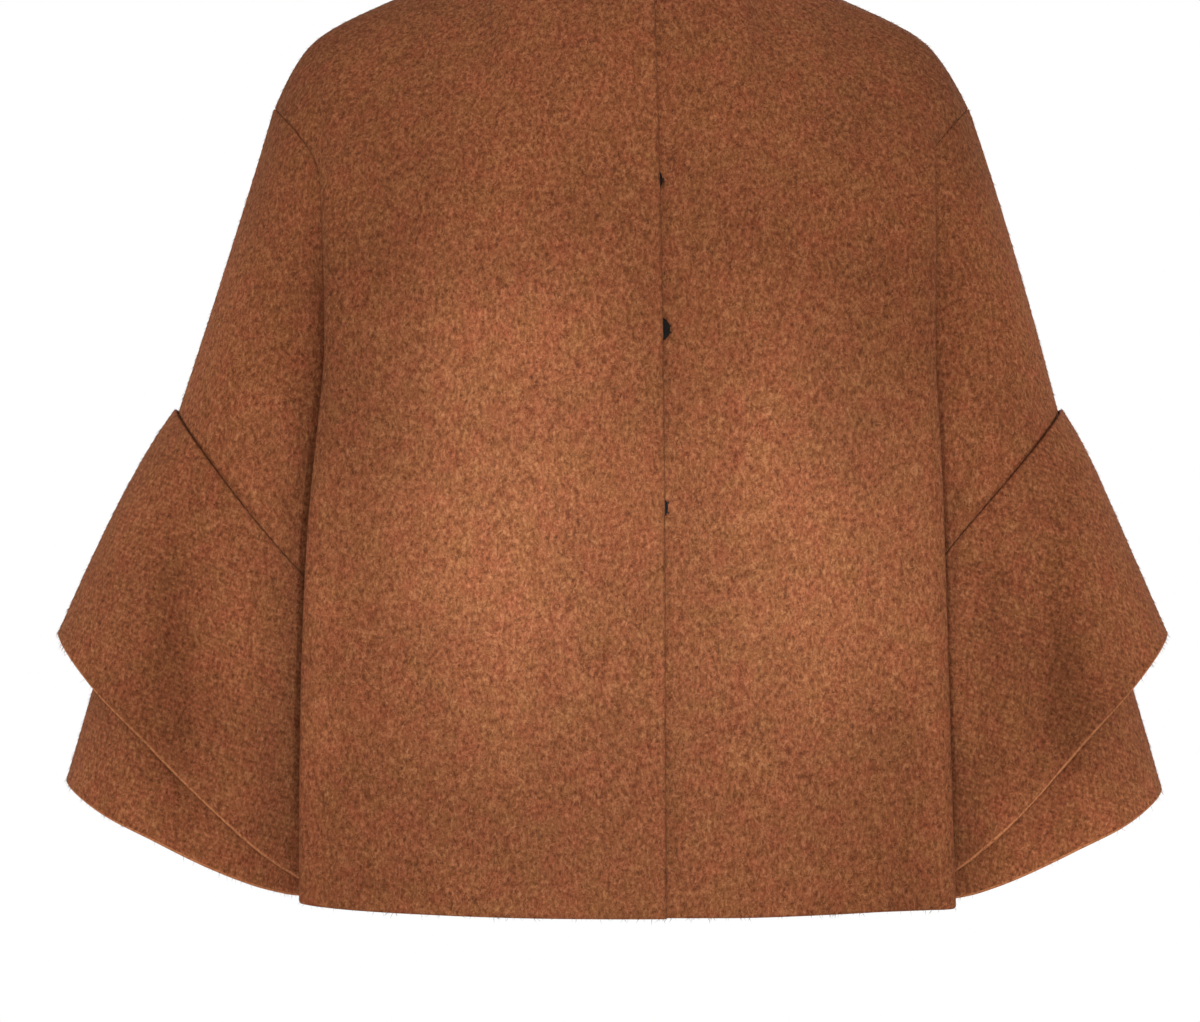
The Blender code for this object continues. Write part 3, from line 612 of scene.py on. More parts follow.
def chest_section(side, front, height, inner_out):
    """One level of half a panel, from its inner column out to the tip of the side fold.

    inner_out is where the first column lies, measured from the jacket's middle towards the side.
    """
    at = level(height)
    facing = -1.0 if front else 1.0
    if front:
        middle, bust, fold_out, fold_depth = at.front, at.bust, at.fold, at.fold_front
    else:
        middle, bust, fold_out, fold_depth = at.back, BLADE_SWELL, at.back_fold, at.back_fold_depth
    start = fold_out - FOLD_START_OUT
    centre = side * BODY_CENTRE
    neck = np.linspace(inner_out - centre, CHEST_COLUMNS[0].chest * start, NECK_COLUMNS + 1)
    outs = np.append(neck, [column.chest * start for column in CHEST_COLUMNS[1:]])
    depths = panel_depth(middle, bust, outs, start, fold_depth + FOLD_START_DEPTH)
    outs = np.append(outs, (fold_out - FOLD_OUT, fold_out))
    depths = np.append(depths, (fold_depth + FOLD_DEPTH, fold_depth))
    return np.stack((side * (outs + centre), facing * depths), axis=1)


def fold_return(side, front, tip, edge, crown):
    """The cloth from the side fold's tip back to the armhole or side seam.

    Where the edge lies outside the tip, high on the shoulder, the cloth runs on with no fold, and rounds over
    like the shoulder line, whose last points are given as crown.
    """
    behind = 1.0 if front else -1.0
    folded = ease((side * (tip[0] - edge[0]) + FOLD_LEAD) / FOLD_RUN)
    span = edge - tip
    reach = np.linalg.norm(span)
    back = np.array((0.0, behind * min(FOLD_PULL * reach, FOLD_ROUND), 0.0))
    tuck_out = -side * min(RETURN_PULL * reach, RETURN_TUCK)
    tuck = np.array((tuck_out, -RETURN_DEPTH * span[1], -RETURN_HEIGHT * span[2]))
    near_tip = tip + (1.0 - folded) * span / 3 + folded * back
    near_edge = edge - (1.0 - folded) * span / 3 + folded * tuck
    way = np.array([column.way for column in RETURN_COLUMNS])[:, None]
    stay = 1.0 - way
    line = stay**3 * tip + 3 * stay**2 * way * near_tip + 3 * stay * way**2 * near_edge + way**3 * edge
    rounding = crown[1:] - (crown[0] + (crown[-1] - crown[0]) * way)
    return line + rounding * (1.0 - folded) * reach / np.linalg.norm(crown[-1] - crown[0])


def top_line(side, front, first_angle):
    """The neck and shoulder line of half a panel, from its inner column to the top of the armhole."""
    angles = np.linspace(first_angle, 90.0, NECK_COLUMNS + 1)
    depth = NECK_FRONT_DEPTH if front else NECK_BACK_DEPTH
    drop = NECK_FRONT_DROP if front else NECK_BACK_DROP
    points = []
    for angle in np.radians(angles):
        lie = NECK_SIDE_DEPTH + (depth - NECK_SIDE_DEPTH) * cos(angle)
        points.append((side * NECK_HALF_WIDTH * sin(angle), lie, -drop * cos(angle) ** 2))
    shares = [column.shoulder for column in CHEST_COLUMNS[1:]]
    shares += [FOLD_SHOULDER, TIP_SHOULDER]
    shares += [column.shoulder for column in RETURN_COLUMNS]
    shoulder = along(SHOULDER, np.array(shares))
    shoulder[:, 0] *= side
    return np.vstack((np.array(points), shoulder))


def half_panel(side, front, first_angle, inner_edge):
    """Half a front or back, as rows of points from the neck and shoulder down to the hem."""
    top = top_line(side, front, first_angle)
    arm = armhole(FRONT_ARMHOLE if front else BACK_ARMHOLE)
    arm[:, 0] *= side
    inner = len(top) - len(RETURN_COLUMNS)
    across = np.linspace(0.0, 1.0, inner)
    chest_height = BODY_LEVELS[0].height
    chest = np.zeros((inner, 3))
    chest[:, :2] = chest_section(side, front, chest_height, inner_edge(chest_height))
    chest[:, 2] = chest_height
    round_over = TURN_POWER - TURN_POWER_LOSS * ease(across * TURN_LOSS_RUN)
    rows = [top]
    for number in range(1, YOKE_ROWS + 1):
        turn = 0.5 * pi * YOKE[number].turn
        points = top[:inner].copy()
        points[:, 0] += (chest[:, 0] - points[:, 0]) * ease(YOKE[number].turn)
        points[:, 1] += (chest[:, 1] - points[:, 1]) * sin(turn) ** round_over
        points[:, 2] += (chest[:, 2] - points[:, 2]) * (1.0 - cos(turn))
        points[0, 0] = side * inner_edge(points[0, 2])
        rows.append(np.vstack((points, fold_return(side, front, points[-1], arm[number], top[inner - 1 :]))))
    for number in range(1, BODY_ROWS + 1):
        share = number / BODY_ROWS
        height = chest_height + (HEM_HEIGHT - chest_height) * share
        points = np.zeros((inner, 3))
        points[:, :2] = chest_section(side, front, height, inner_edge(height))
        points[:, 2] = height
        seam_depth = arm[-1][1] + SIDE_SEAM_SHIFT * ease(share * SIDE_SEAM_RUN)
        seam = np.array((side * level(height).side, seam_depth, height))
        points = np.vstack((points, fold_return(side, front, points[-1], seam, top[inner - 1 :])))
        points[:, 2] += (hem_height(points[:, 0] - BODY_CENTRE) - HEM_HEIGHT) * share
        points[-1, 2] += (arm[-1][2] - chest_height) * (1.0 - share)
        rows.append(points)
    return np.array(rows)


def back_panel():
    """The whole back, from the wearer's right side seam to the left."""
    left = half_panel(-1.0, False, 0.0, lambda height: 0.0)
    right = half_panel(1.0, False, 0.0, lambda height: 0.0)
    return np.concatenate((left[:, :0:-1], right), axis=1)


def front_panel(side):
    """One front. The wearer's right front, on the viewer's left, lies on top past the centre."""
    if side < 0:
        angle = -np.degrees(np.arcsin(OVERLAP_EDGE_TOP / NECK_HALF_WIDTH))
        return half_panel(side, True, angle, lambda height: -float(overlap_edge(height)))
    angle = np.degrees(np.arcsin(UNDERLAP_EDGE / NECK_HALF_WIDTH))
    points = half_panel(side, True, angle, lambda height: UNDERLAP_EDGE)
    past_edge = (points[..., 0] - overlap_edge(points[..., 2])) / CLOSING_RUN_OUT
    points[..., 1] += (WALL + CLOSING_GAP) * (1.0 - ease(past_edge))
    return points


def elbow_ring(side, sides, lift):
    """The slanted seam ring round the sleeve, grown outwards by lift."""
    outer = np.array((ELBOW_OUTER[0], 0.0, ELBOW_OUTER[1]))
    inner = np.array((ELBOW_INNER[0], 0.0, ELBOW_INNER[1]))
    middle = (outer + inner) / 2
    reach = np.linalg.norm(outer - inner) / 2
    slant = (outer - inner) / (2 * reach)
    turn = angles_round(sides)[:, None]
    deep = (ELBOW_DEPTH + lift) * (1.0 + ELBOW_EGG * np.cos(turn))
    ring = middle + (reach + lift) * np.cos(turn) * slant - deep * np.sin(turn) * np.array((0.0, 1.0, 0.0))
    ring[:, 1] += ELBOW_MIDDLE_DEPTH
    ring[:, 0] *= side
    return ring


def sleeve(side):
    """A sleeve, as rings from the armhole down to the elbow seam."""
    front = armhole(FRONT_ARMHOLE)
    back = armhole(BACK_ARMHOLE)
    start = np.vstack((front, back[-2:0:-1]))
    start[:, 0] *= side
    end = elbow_ring(side, SLEEVE_SIDES, 0.0)
    turn = angles_round(SLEEVE_SIDES)
    rings = []
    for step in range(SLEEVE_STEPS + 1):
        share = step / SLEEVE_STEPS
        ring = start + (end - start) * share
        swell = SLEEVE_SWELL * 4 * share * (1 - share)
        ring[:, 0] += side * swell * OUTER_SWELL * np.maximum(np.cos(turn), 0.0)
        ring[:, 1] -= swell * np.sin(turn)
        spread = UNDERARM_SPREAD * np.clip(-np.cos(turn), 0, 1) * sin(pi * share**SPREAD_POWER)
        ring[:, 0] += side * spread
        rings.append(ring)
    return np.array(rings)


def flute_height(turn):
    """How far the soft flutes stand out at the hem, round the cuff."""
    degrees = np.degrees(turn)
    total = np.zeros_like(turn)
    for flute in FLUTES:
        away = (degrees - flute.angle + 180.0) % 360.0 - 180.0
        total += flute.height * np.exp(-((away / flute.spread) ** 2))
    return total


def hem_ring(side, layer):
    """A cuff layer's hem, from the outer corner round the front, the inner side and the back."""
    turn = angles_round(FLOUNCE_SIDES)
    places = [(point.out, point.height) for point in layer.hem]
    line = curve([point.share for point in layer.hem], places, (1.0 - np.cos(turn)) / 2)
    deep = layer.depth * (1.0 + CUFF_EGG * np.cos(turn)) + layer.flutes * flute_height(turn)
    return np.stack((side * line[:, 0], ELBOW_MIDDLE_DEPTH - deep * np.sin(turn), line[:, 1]), axis=1)


def pressed_depth(x, z, folds):
    """How deep soft folds press into the cloth, at places seen from the front."""
    total = np.zeros_like(x)
    for fold in folds:
        run = np.array((fold.x2 - fold.x1, fold.z2 - fold.z1))
        length = np.linalg.norm(run)
        away = np.stack((x - fold.x1, z - fold.z1), axis=-1)
        share = away @ run / length**2
        across = (away[..., 0] * run[1] - away[..., 1] * run[0]) / length
        ends = ease(share * FOLD_FADE + 0.5) * ease((1.0 - share) * FOLD_FADE + 0.5)
        total += fold.depth * np.exp(-((across / fold.spread) ** 2)) * ends
    return total


def cuff_layer(side, layer):
    """One layer of the bell cuff, as rings from the elbow seam to its hem."""
    start = elbow_ring(side, FLOUNCE_SIDES, layer.lift)
    end = hem_ring(side, layer)
    turn = angles_round(FLOUNCE_SIDES)
    flutes = layer.flutes * flute_height(turn) * np.abs(np.sin(turn))
    front_folds = RIGHT_FRONT_FOLDS if side < 0 else LEFT_FRONT_FOLDS
    rings = []
    for step in range(FLOUNCE_STEPS + 1):
        share = (step / FLOUNCE_STEPS) ** CUFF_ROW_POWER
        ring = start + (end - start) * share
        rise = layer.puff * (1.0 - (1.0 - share) ** PUFF_POWER) * (1.0 - share**2)
        ring[:, 0] += side * rise * np.cos(turn)
        ring[:, 1] -= rise * np.sin(turn)
        ring[:, 1] += np.sign(np.sin(turn)) * flutes * (share - share**FLUTE_POWER)
        front = pressed_depth(side * ring[:, 0], ring[:, 2], front_folds)
        back = pressed_depth(side * ring[:, 0], ring[:, 2], BACK_FOLDS)
        pressed = np.where(np.sin(turn) > 0.0, front, -back) * np.sqrt(np.abs(np.sin(turn)))
        ring[:, 1] += pressed * ease(share * CUFF_FOLD_START)
        rings.append(ring)
    return np.array(rings)


def hang_askew(grid):
    """Moves the arms and the outer body a little, because the jacket doesn't hang quite evenly."""
    out = grid[..., 0]
    weight = ease((np.abs(out) - SKEW_START) / SKEW_RUN)
    shift = curve([row.height for row in ARM_SKEW], [row.shift for row in ARM_SKEW], grid[..., 2])
    low = ease((HEM_TILT_TOP - grid[..., 2]) / HEM_TILT_RUN)
    moved = grid.copy()
    moved[..., 0] += shift * weight
    moved[..., 2] -= HEM_TILT * out * low * weight
    return moved


def finer(line, times, closed):
    """Smooth curves through the points along the first axis, with a number of steps between neighbours."""
    if closed:
        line = np.concatenate((line[-1:], line, line[:2]))
    else:
        line = np.concatenate((2 * line[:1] - line[1:2], line, 2 * line[-1:] - line[-2:-1]))
    step = np.diff(line, axis=0)
    chord = np.maximum(np.linalg.norm(step, axis=-1, keepdims=True), LEAST_CHORD)
    before = chord[:-1]
    after = chord[1:]
    slope = (step[:-1] / before * after + step[1:] / after * before) / (before + after)
    inner = line[1:-1]
    span = chord[1:-1]
    shares = np.arange(times) / times
    parts = [cubic(t, inner[:-1], inner[1:], span * slope[:-1], span * slope[1:]) for t in shares]
    fine = np.stack(parts, axis=1).reshape(-1, *line.shape[1:])
    return fine if closed else np.concatenate((fine, inner[-1:]))


def refined(grid, times, closed):
    """A finer grid through the same points, by rows and then by columns."""
    rows = finer(grid, times[0], False)
    return finer(rows.swapaxes(0, 1), times[1], closed).swapaxes(0, 1)


def cell_crosses(grid):
    """The cross product of each cell's diagonals, which is as long as twice the cell's area."""
    return np.cross(grid[1:, 1:] - grid[:-1, :-1], grid[1:, :-1] - grid[:-1, 1:])


def face_normals(grid, closed, flip):
    """Unit normals of a grid's points, from the faces that meet there."""
    around = np.concatenate((grid, grid[:, :1]), axis=1) if closed else grid
    face = unit(cell_crosses(around) * flip)
    total = np.zeros_like(grid)
    columns = grid.shape[1]
    for rows in (slice(0, -1), slice(1, None)):
        if closed:
            total[rows] += face + np.roll(face, 1, axis=1)
        else:
            total[rows, : columns - 1] += face
            total[rows, 1:] += face
    return unit(total)


def creased(piece, creases, facing):
    """A piece's points, with soft troughs and ridges where the cloth faces front or back."""
    mirror = -1.0 if piece.name == "sleeve_right" else 1.0
    depth = pressed_depth(mirror * piece.grid[..., 0], piece.grid[..., 2], creases)
    depth *= ease(piece.normal[..., 1] * facing * FACING_RISE - FACING_START)
    return piece.grid - piece.normal * depth[..., None]


class Cloth:
    """One cut piece of cloth: its outer grid, which way it faces, its borders and how it is finished."""

    def __init__(self, name, cut, coarse, fine, closed, flip, sewn, hems=()):
        self.name = name
        self.cut = cut
        self.closed = closed
        self.flip = flip
        self.sewn = sewn
        self.hems = hems
        self.grid = refined(hang_askew(coarse), fine, closed)
        self.normal = face_normals(self.grid, closed, flip)
        self.inward = self.normal.copy()
        self.thick = np.full(self.grid.shape[:2], WALL)


def share_seams(pieces):
    """Gives points that lie on the same seam one common direction through the cloth."""
    meeting = {}
    for piece in pieces:
        rows, columns = piece.grid.shape[:2]
        border = [(r, c) for r in (0, rows - 1) for c in range(columns)]
        if not piece.closed:
            border += [(r, c) for r in range(1, rows - 1) for c in (0, columns - 1)]
        for r, c in border:
            key = tuple(np.round(piece.grid[r, c] / SEAM_MATCH).astype(int))
            meeting.setdefault(key, []).append((piece, r, c))
    for places in meeting.values():
        if len(places) < 2:
            continue
        common = unit(sum(piece.normal[r, c] for piece, r, c in places))
        square = min(float(np.dot(common, piece.normal[r, c])) for piece, r, c in places)
        for piece, r, c in places:
            piece.inward[r, c] = common
            piece.thick[r, c] = WALL / max(square, LEAST_SQUARE)


def way_out(grid, axis, place):
    """Unit directions that lead out of the cloth over one border."""
    lines = grid if axis == 0 else grid.swapaxes(0, 1)
    return unit(lines[0] - lines[1] if place == 0 else lines[-1] - lines[-2])


def with_rims(count, rimmed):
    """Numbers of the points along one axis, and how far each has turned over its border."""
    if not rimmed:
        return np.arange(count), np.zeros(count)
    turns = np.linspace(0.0, pi / 2, ROLL_STEPS + 1)[1:]
    first, last = np.zeros(ROLL_STEPS, int), np.full(ROLL_STEPS, count - 1)
    numbers = np.concatenate((first, np.arange(count), last))
    return numbers, np.concatenate((turns[::-1], np.zeros(count), turns))


def rolled(piece):
    """The outer and inner skins of a piece with rounded borders, which share their rim."""
    grid = piece.grid.copy()
    lead = {}
    for axis in (0,) if piece.closed else (0, 1):
        for place in (0, -1):
            out = way_out(piece.grid, axis, place)
            line = (place, slice(None)) if axis == 0 else (slice(None), place)
            lead[axis, place] = out
            space = SEWN_SPACE if (axis, place) in piece.sewn else ROLL_SPACE
            grid[line] -= out * (piece.thick[line] / 2 + space)[..., None]
    row_of, row_turn = with_rims(grid.shape[0], True)
    column_of, column_turn = with_rims(grid.shape[1], not piece.closed)
    numbers, turns = (row_of, column_of), (row_turn, column_turn)
    spread = grid[row_of][:, column_of]
    half = piece.thick[row_of][:, column_of][..., None] / 2
    inward = piece.inward[row_of][:, column_of]
    for (axis, place), out in lead.items():
        here = slice(0, ROLL_STEPS) if place == 0 else slice(-ROLL_STEPS, None)
        move = np.sin(turns[axis][here])[:, None, None] * out[numbers[1 - axis]]
        spread.swapaxes(0, axis)[here] += move * half.swapaxes(0, axis)[here]
    sink = 1.0 - np.cos(row_turn)[:, None, None] * np.cos(column_turn)[None, :, None]
    return spread - inward * half * sink, spread - inward * half * (2.0 - sink)


def quads_of(rows, columns, closed, first):
    """Corner numbers of a grid's faces, where the grid's points start at a number."""
    last = columns if closed else columns - 1
    r = np.arange(rows - 1)[:, None]
    c = np.arange(last)[None]
    d = (c + 1) % columns
    a = r * columns + c
    b = r * columns + d
    return np.stack((a, b, b + columns, a + columns), axis=2).reshape(-1, 4) + first


def quick_mesh(name, points, faces):
    """A mesh from arrays of points and of equal-sided faces."""
    mesh = bpy.data.meshes.new(name)
    count, corners = faces.shape
    mesh.vertices.add(len(points))
    mesh.vertices.foreach_set("co", np.asarray(points, np.float32).ravel())
    mesh.loops.add(count * corners)
    mesh.loops.foreach_set("vertex_index", np.asarray(faces, np.int32).ravel())
    mesh.polygons.add(count)
    mesh.polygons.foreach_set("loop_start", np.arange(0, count * corners, corners, dtype=np.int32))
    mesh.update(calc_edges=True)
    mesh.validate()
    mesh.shade_smooth()
    return mesh


def shell_mesh(piece):
    """A closed shell of cloth. Faces near a raw hem take the second material."""
    outer, inner = rolled(piece)
    rows, columns = outer.shape[:2]
    count = rows * columns
    points = np.concatenate((outer.reshape(-1, 3), inner.reshape(-1, 3)))
    top = quads_of(rows, columns, piece.closed, 0)
    under = quads_of(rows, columns, piece.closed, count)[:, ::-1]
    same = np.arange(2 * count)
    numbers = np.arange(count).reshape(rows, columns)
    rim = [numbers[0], numbers[-1]]
    if not piece.closed:
        rim += [numbers[:, 0], numbers[:, -1]]
    rim = np.concatenate(rim)
    same[rim + count] = rim
    faces = same[np.concatenate((top, under))]
    if piece.flip < 0:
        faces = faces[:, ::-1]
    mesh = quick_mesh(piece.name, points, faces)
    if "raw" in piece.hems:
        slots = np.zeros((2, rows - 1, len(top) // (rows - 1)), np.int32)
        slots[:, rows - 1 - ROLL_STEPS :] = 1
        mesh.polygons.foreach_set("material_index", slots.ravel())
    return mesh


def all_cloth():
    """Every cloth piece of the jacket, creased, hemmed and with shared directions at the seams."""
    top, left, right, bottom = (0, 0), (1, 0), (1, -1), (0, -1)
    pieces = [
        Cloth("front_right", "front", front_panel(-1.0), BODY_FINE, False, 1.0, [top, right], ["turned"]),
        Cloth("front_left", "front", front_panel(1.0), BODY_FINE, False, -1.0, [top, right], ["turned"]),
        Cloth("back", "back", back_panel(), BODY_FINE, False, 1.0, [top, left, right], ["turned"]),
        Cloth("sleeve_right", "sleeve", sleeve(-1.0), SLEEVE_FINE, True, -1.0, [top, bottom]),
        Cloth("sleeve_left", "sleeve", sleeve(1.0), SLEEVE_FINE, True, 1.0, [top, bottom]),
    ]
    share_seams(pieces)
    for side, name in ((-1.0, "_right"), (1.0, "_left")):
        for layer in CUFF_LAYERS:
            rings = cuff_layer(side, layer)
            pieces.append(Cloth(layer.name + name, layer.name, rings, CUFF_FINE, True, side, [top], ["raw"]))
    slant = unit(np.array(ELBOW_OUTER) - np.array(ELBOW_INNER))
    for piece in [piece for piece in pieces if piece.closed]:
        side = -1.0 if piece.name.endswith("right") else 1.0
        across = np.array((side * slant[1], 0.0, -slant[0]))
        row = -1 if piece.name.startswith("sleeve") else 0
        piece.inward[row] = unit(piece.inward[row] - (piece.inward[row] @ across)[:, None] * across)
    for piece in pieces:
        for creases, facing in CREASES.get(piece.cut, ()):
            piece.grid = creased(piece, creases, facing)
        if "turned" in piece.hems:
            turned = (HEM_WALL - WALL) * ease(1.0 - (piece.grid[..., 2] - piece.grid[-1, :, 2]) / HEM_DEEP)
            if piece.name == "front_right":
                past = np.abs(piece.grid[..., 0] - piece.grid[:, :1, 0])
                turned = np.maximum(turned, (CLOSING_WALL - WALL) * ease(1.0 - past / CLOSING_DEEP))
            piece.thick += turned
    return {piece.name: piece for piece in pieces}


PIECES = all_cloth()


def spread_roots(piece, count, random):
    """Places all over a piece's outer face, with the normals there."""
    grid = piece.grid
    normal = piece.normal
    if piece.closed:
        grid = np.concatenate((grid, grid[:, :1]), axis=1)
        normal = np.concatenate((normal, normal[:, :1]), axis=1)
    area = np.cumsum(np.linalg.norm(cell_crosses(grid), axis=2).ravel())
    cell = np.minimum(np.searchsorted(area, random.random(count) * area[-1]), len(area) - 1)
    r, c = np.divmod(cell, grid.shape[1] - 1)
    u, v = random.random((2, count, 1))
    mixed = []
    for field in (grid, normal):
        upper = field[r, c] * (1 - v) + field[r, c + 1] * v
        lower = field[r + 1, c] * (1 - v) + field[r + 1, c + 1] * v
        mixed.append(upper * (1 - u) + lower * u)
    return mixed


def nap_mesh(piece, count, length, lift, seed):
    """Short closed fibres rooted all over a piece's outer face, lying mostly down the cloth."""
    random = np.random.default_rng(seed)
    root, up = spread_roots(piece, count, random)
    up = unit(up)
    down = unit(np.array((0.0, 0.0, -1.0)) - up * (-up[:, 2:3]))
    aside = np.cross(up, down)
    swing = random.normal(0.0, NAP_SWING, (count, 1))
    stand = np.abs(random.normal(0.0, lift, (count, 1))) + NAP_LEAST_STAND
    lie = down * np.cos(swing) + aside * np.sin(swing)
    way = lie * np.cos(stand) + up * np.sin(stand)
    side = unit(np.cross(way, up))
    high = np.cross(side, way)
    reach = length * random.uniform(*NAP_LENGTHS, (count, 1))
    wide = NAP_WIDE * random.uniform(*NAP_WIDTHS, (count, 1))
    root = root - up * NAP_ROOT
    corners = [root + side * wide, root - side * wide, root + high * wide * NAP_HIGH, root + way * reach]
    points = np.stack(corners, axis=1).reshape(-1, 3)
    pattern = np.array(NAP_FACES)
    faces = (pattern[None] + 4 * np.arange(count)[:, None, None]).reshape(-1, 3)
    mesh = quick_mesh("nap_" + piece.name, points, faces)
    tone = mesh.attributes.new("tone", "FLOAT", "POINT")
    tone.data.foreach_set("value", np.repeat(random.random(count), 4).astype(np.float32))
    cells = int(np.ceil(np.sqrt(count)))
    number = np.arange(count)
    corner = np.array(NAP_MAP)[pattern.ravel()]
    place = np.stack((number % cells, number // cells), axis=1)[:, None] + corner[None]
    mesh.uv_layers.new(name="OFBake").uv.foreach_set("vector", (place / cells).ravel().astype(np.float32))
    return mesh


def turned_mesh(profile, steps):
    """Points and faces of a closed piece turned about +Z from a profile of radius and height."""
    ring = angles_round(steps)
    inner = profile[1:-1]
    points = [(p.radius * cos(t), p.radius * sin(t), p.height) for p in inner for t in ring]
    points += [(0.0, 0.0, profile[0].height), (0.0, 0.0, profile[-1].height)]
    faces = [tuple(face) for face in quads_of(len(inner), steps, True, 0)[:, ::-1]]
    last = (len(inner) - 1) * steps
    for number in range(steps):
        after = (number + 1) % steps
        faces.append((len(points) - 2, number, after))
        faces.append((last + after, last + number, len(points) - 1))
    return points, faces


def thread_loop(turn, number):
    """Points and faces of one stitch that ties a stud's rim to the cloth."""
    points = []
    for place in STITCH_PATH:
        wide = STITCH_WIDE * (STITCH_TIP if place in (STITCH_PATH[0], STITCH_PATH[-1]) else 1.0)
        for step in range(STITCH_SIDES):
            t = 2 * pi * step / STITCH_SIDES
            aside = wide * STITCH_FLAT * sin(t)
            out = place.radius + wide * STITCH_THIN * cos(t)
            x = out * cos(turn) - aside * sin(turn)
            y = out * sin(turn) + aside * cos(turn)
            points.append((x, y, place.height + wide * cos(t)))
    faces = [tuple(face) for face in quads_of(len(STITCH_PATH), STITCH_SIDES, True, number)]
    last = number + len(points) - STITCH_SIDES
    faces.append(tuple(number + step for step in reversed(range(STITCH_SIDES))))
    faces.append(tuple(last + step for step in range(STITCH_SIDES)))
    return points, faces


def closing_face(grid, height, out):
    """The upper front's outer face near the closing: its depth and its slope back with height."""
    column = int(np.argmin(np.abs(grid[grid.shape[0] // 2, :, 0] - out)))
    heights = grid[::-1, column, 2]
    depths = grid[::-1, column, 1]
    low, here, high = np.interp((height - STUD_RADIUS, height, height + STUD_RADIUS), heights, depths)
    return float(min(here, (low + high) / 2)), float((high - low) / (2 * STUD_RADIUS))


def stud_meshes():
    """The six stud halves in place, each with the stitches that hold it."""
    upper_front = front_panel(-1.0)
    made = []
    for number, place in enumerate(STUDS, start=1):
        out = float(overlap_edge(place.height)) + place.past_edge - STUD_RADIUS
        depth, slope = closing_face(upper_front, place.height, out)
        lean = atan(slope)
        middle = depth + WALL / cos(lean) + CLOSING_GAP / 2
        half_space = CLOSING_GAP * cos(lean) / 2 - STUD_SEAT
        for kind, profile, sign in (("ball", BALL_PROFILE, -1.0), ("socket", SOCKET_PROFILE, 1.0)):
            name = "stud_%s_%d" % (kind, number)
            points, faces = turned_mesh(profile, STUD_STEPS)
            metal_faces = len(faces)
            for stitch in range(STITCHES):
                turn = stitch * 2 * pi / STITCHES + STITCH_TURN * number
                more_points, more_faces = thread_loop(turn, len(points))
                points += more_points
                faces += more_faces
            mesh = bpy.data.meshes.new(name)
            mesh.from_pydata(points, [], faces)
            mesh.polygons.foreach_set("material_index", [0] * metal_faces + [1] * (len(faces) - metal_faces))
            mesh.shade_smooth()
            mesh.set_sharp_from_angle(angle=radians(STUD_SHARP_ANGLE))
            shift = sign * half_space
            spot = (out, middle + shift * cos(lean), place.height - shift * sin(lean))
            mesh.transform(Matrix.Translation(spot) @ Matrix.Rotation(sign * pi / 2 - lean, 4, "X"))
            made.append((name, mesh))
    return made


class Tree:
    """Short words for adding and joining a material's nodes."""

    def __init__(self, owner):
        owner.use_nodes = True
        self.nodes = owner.node_tree.nodes
        self.links = owner.node_tree.links
        self.shader = self.nodes.get("Principled BSDF") or self.nodes["Background"]

    def put(self, node, inputs):
        """Sets a node's inputs to values, or joins outputs to them."""
        for name, value in inputs.items():
            socket = node.inputs[name]
            if isinstance(value, bpy.types.NodeSocket):
                self.links.new(value, socket)
            elif socket.type == "RGBA":
                socket.default_value = (*value[:3], 1.0)
            else:
                socket.default_value = value

    def add(self, kind, inputs, **settings):
        """Adds a node with its settings and inputs, and gives its outputs."""
        node = self.nodes.new("ShaderNode" + kind)
        for name, value in settings.items():
            setattr(node, name, value)
        self.put(node, inputs)
        return node.outputs

    def place(self, kind="Object"):
        """Coordinates over the piece."""
        return self.add("TexCoord", {})[kind]

    def stretched(self, vector, scale, turn):
        """Coordinates turned and then scaled by axis."""
        return self.add("Mapping", {"Vector": vector, "Scale": scale, "Rotation": turn})["Vector"]

    def noise(self, vector, noise):
        """A noise value from 0 to 1."""
        inputs = {"Vector": vector, "Scale": noise.scale, "Detail": noise.detail}
        return self.add("TexNoise", {**inputs, "Roughness": noise.rough, "Distortion": noise.bend})["Fac"]

    def step(self, value, low, high, low_to=0.0, high_to=1.0):
        """A smooth step of a value between two limits."""
        inputs = {"Value": value, "From Min": low, "From Max": high, "To Min": low_to, "To Max": high_to}
        return self.add("MapRange", inputs, interpolation_type="SMOOTHSTEP")["Result"]

    def math(self, kind, one, other):
        """A sum, product or other plain working of two values."""
        return self.add("Math", {0: one, 1: other}, operation=kind)[0]

    def line(self, value, width, strength):
        """Thin curled lines where a noise passes its middle value."""
        away = self.math("ABSOLUTE", self.math("SUBTRACT", value, 0.5), 0.0)
        return self.step(away, 0.0, width, strength, 0.0)

    def mix(self, factor, one, other, blend="MIX"):
        """One colour mixed with another."""
        return self.add("Mix", {0: factor, 6: one, 7: other}, data_type="RGBA", blend_type=blend)[2]

    def ramp(self, value, places, colours):
        """A colour ramp from places and colours."""
        ramp = self.add("ValToRGB", {"Fac": value})["Color"]
        elements = ramp.node.color_ramp.elements
        for number, (place, colour) in enumerate(zip(places, colours)):
            element = elements[number] if number < 2 else elements.new(place)
            element.position = place
            element.color = (*colour[:3], 1.0)
        return ramp

    def relief(self, height, distance):
        """A surface raised by a height from 0 to 1."""
        inputs = {"Height": height, "Strength": RELIEF_STRENGTH, "Distance": distance}
        return self.add("Bump", inputs)["Normal"]


def hue_tint(tree, place, colours):
    """A tint that wanders from rust over none to ochre."""
    return tree.ramp(tree.noise(place, HUES), HUE_PLACES, (colours.rust, WHITE, colours.ochre))


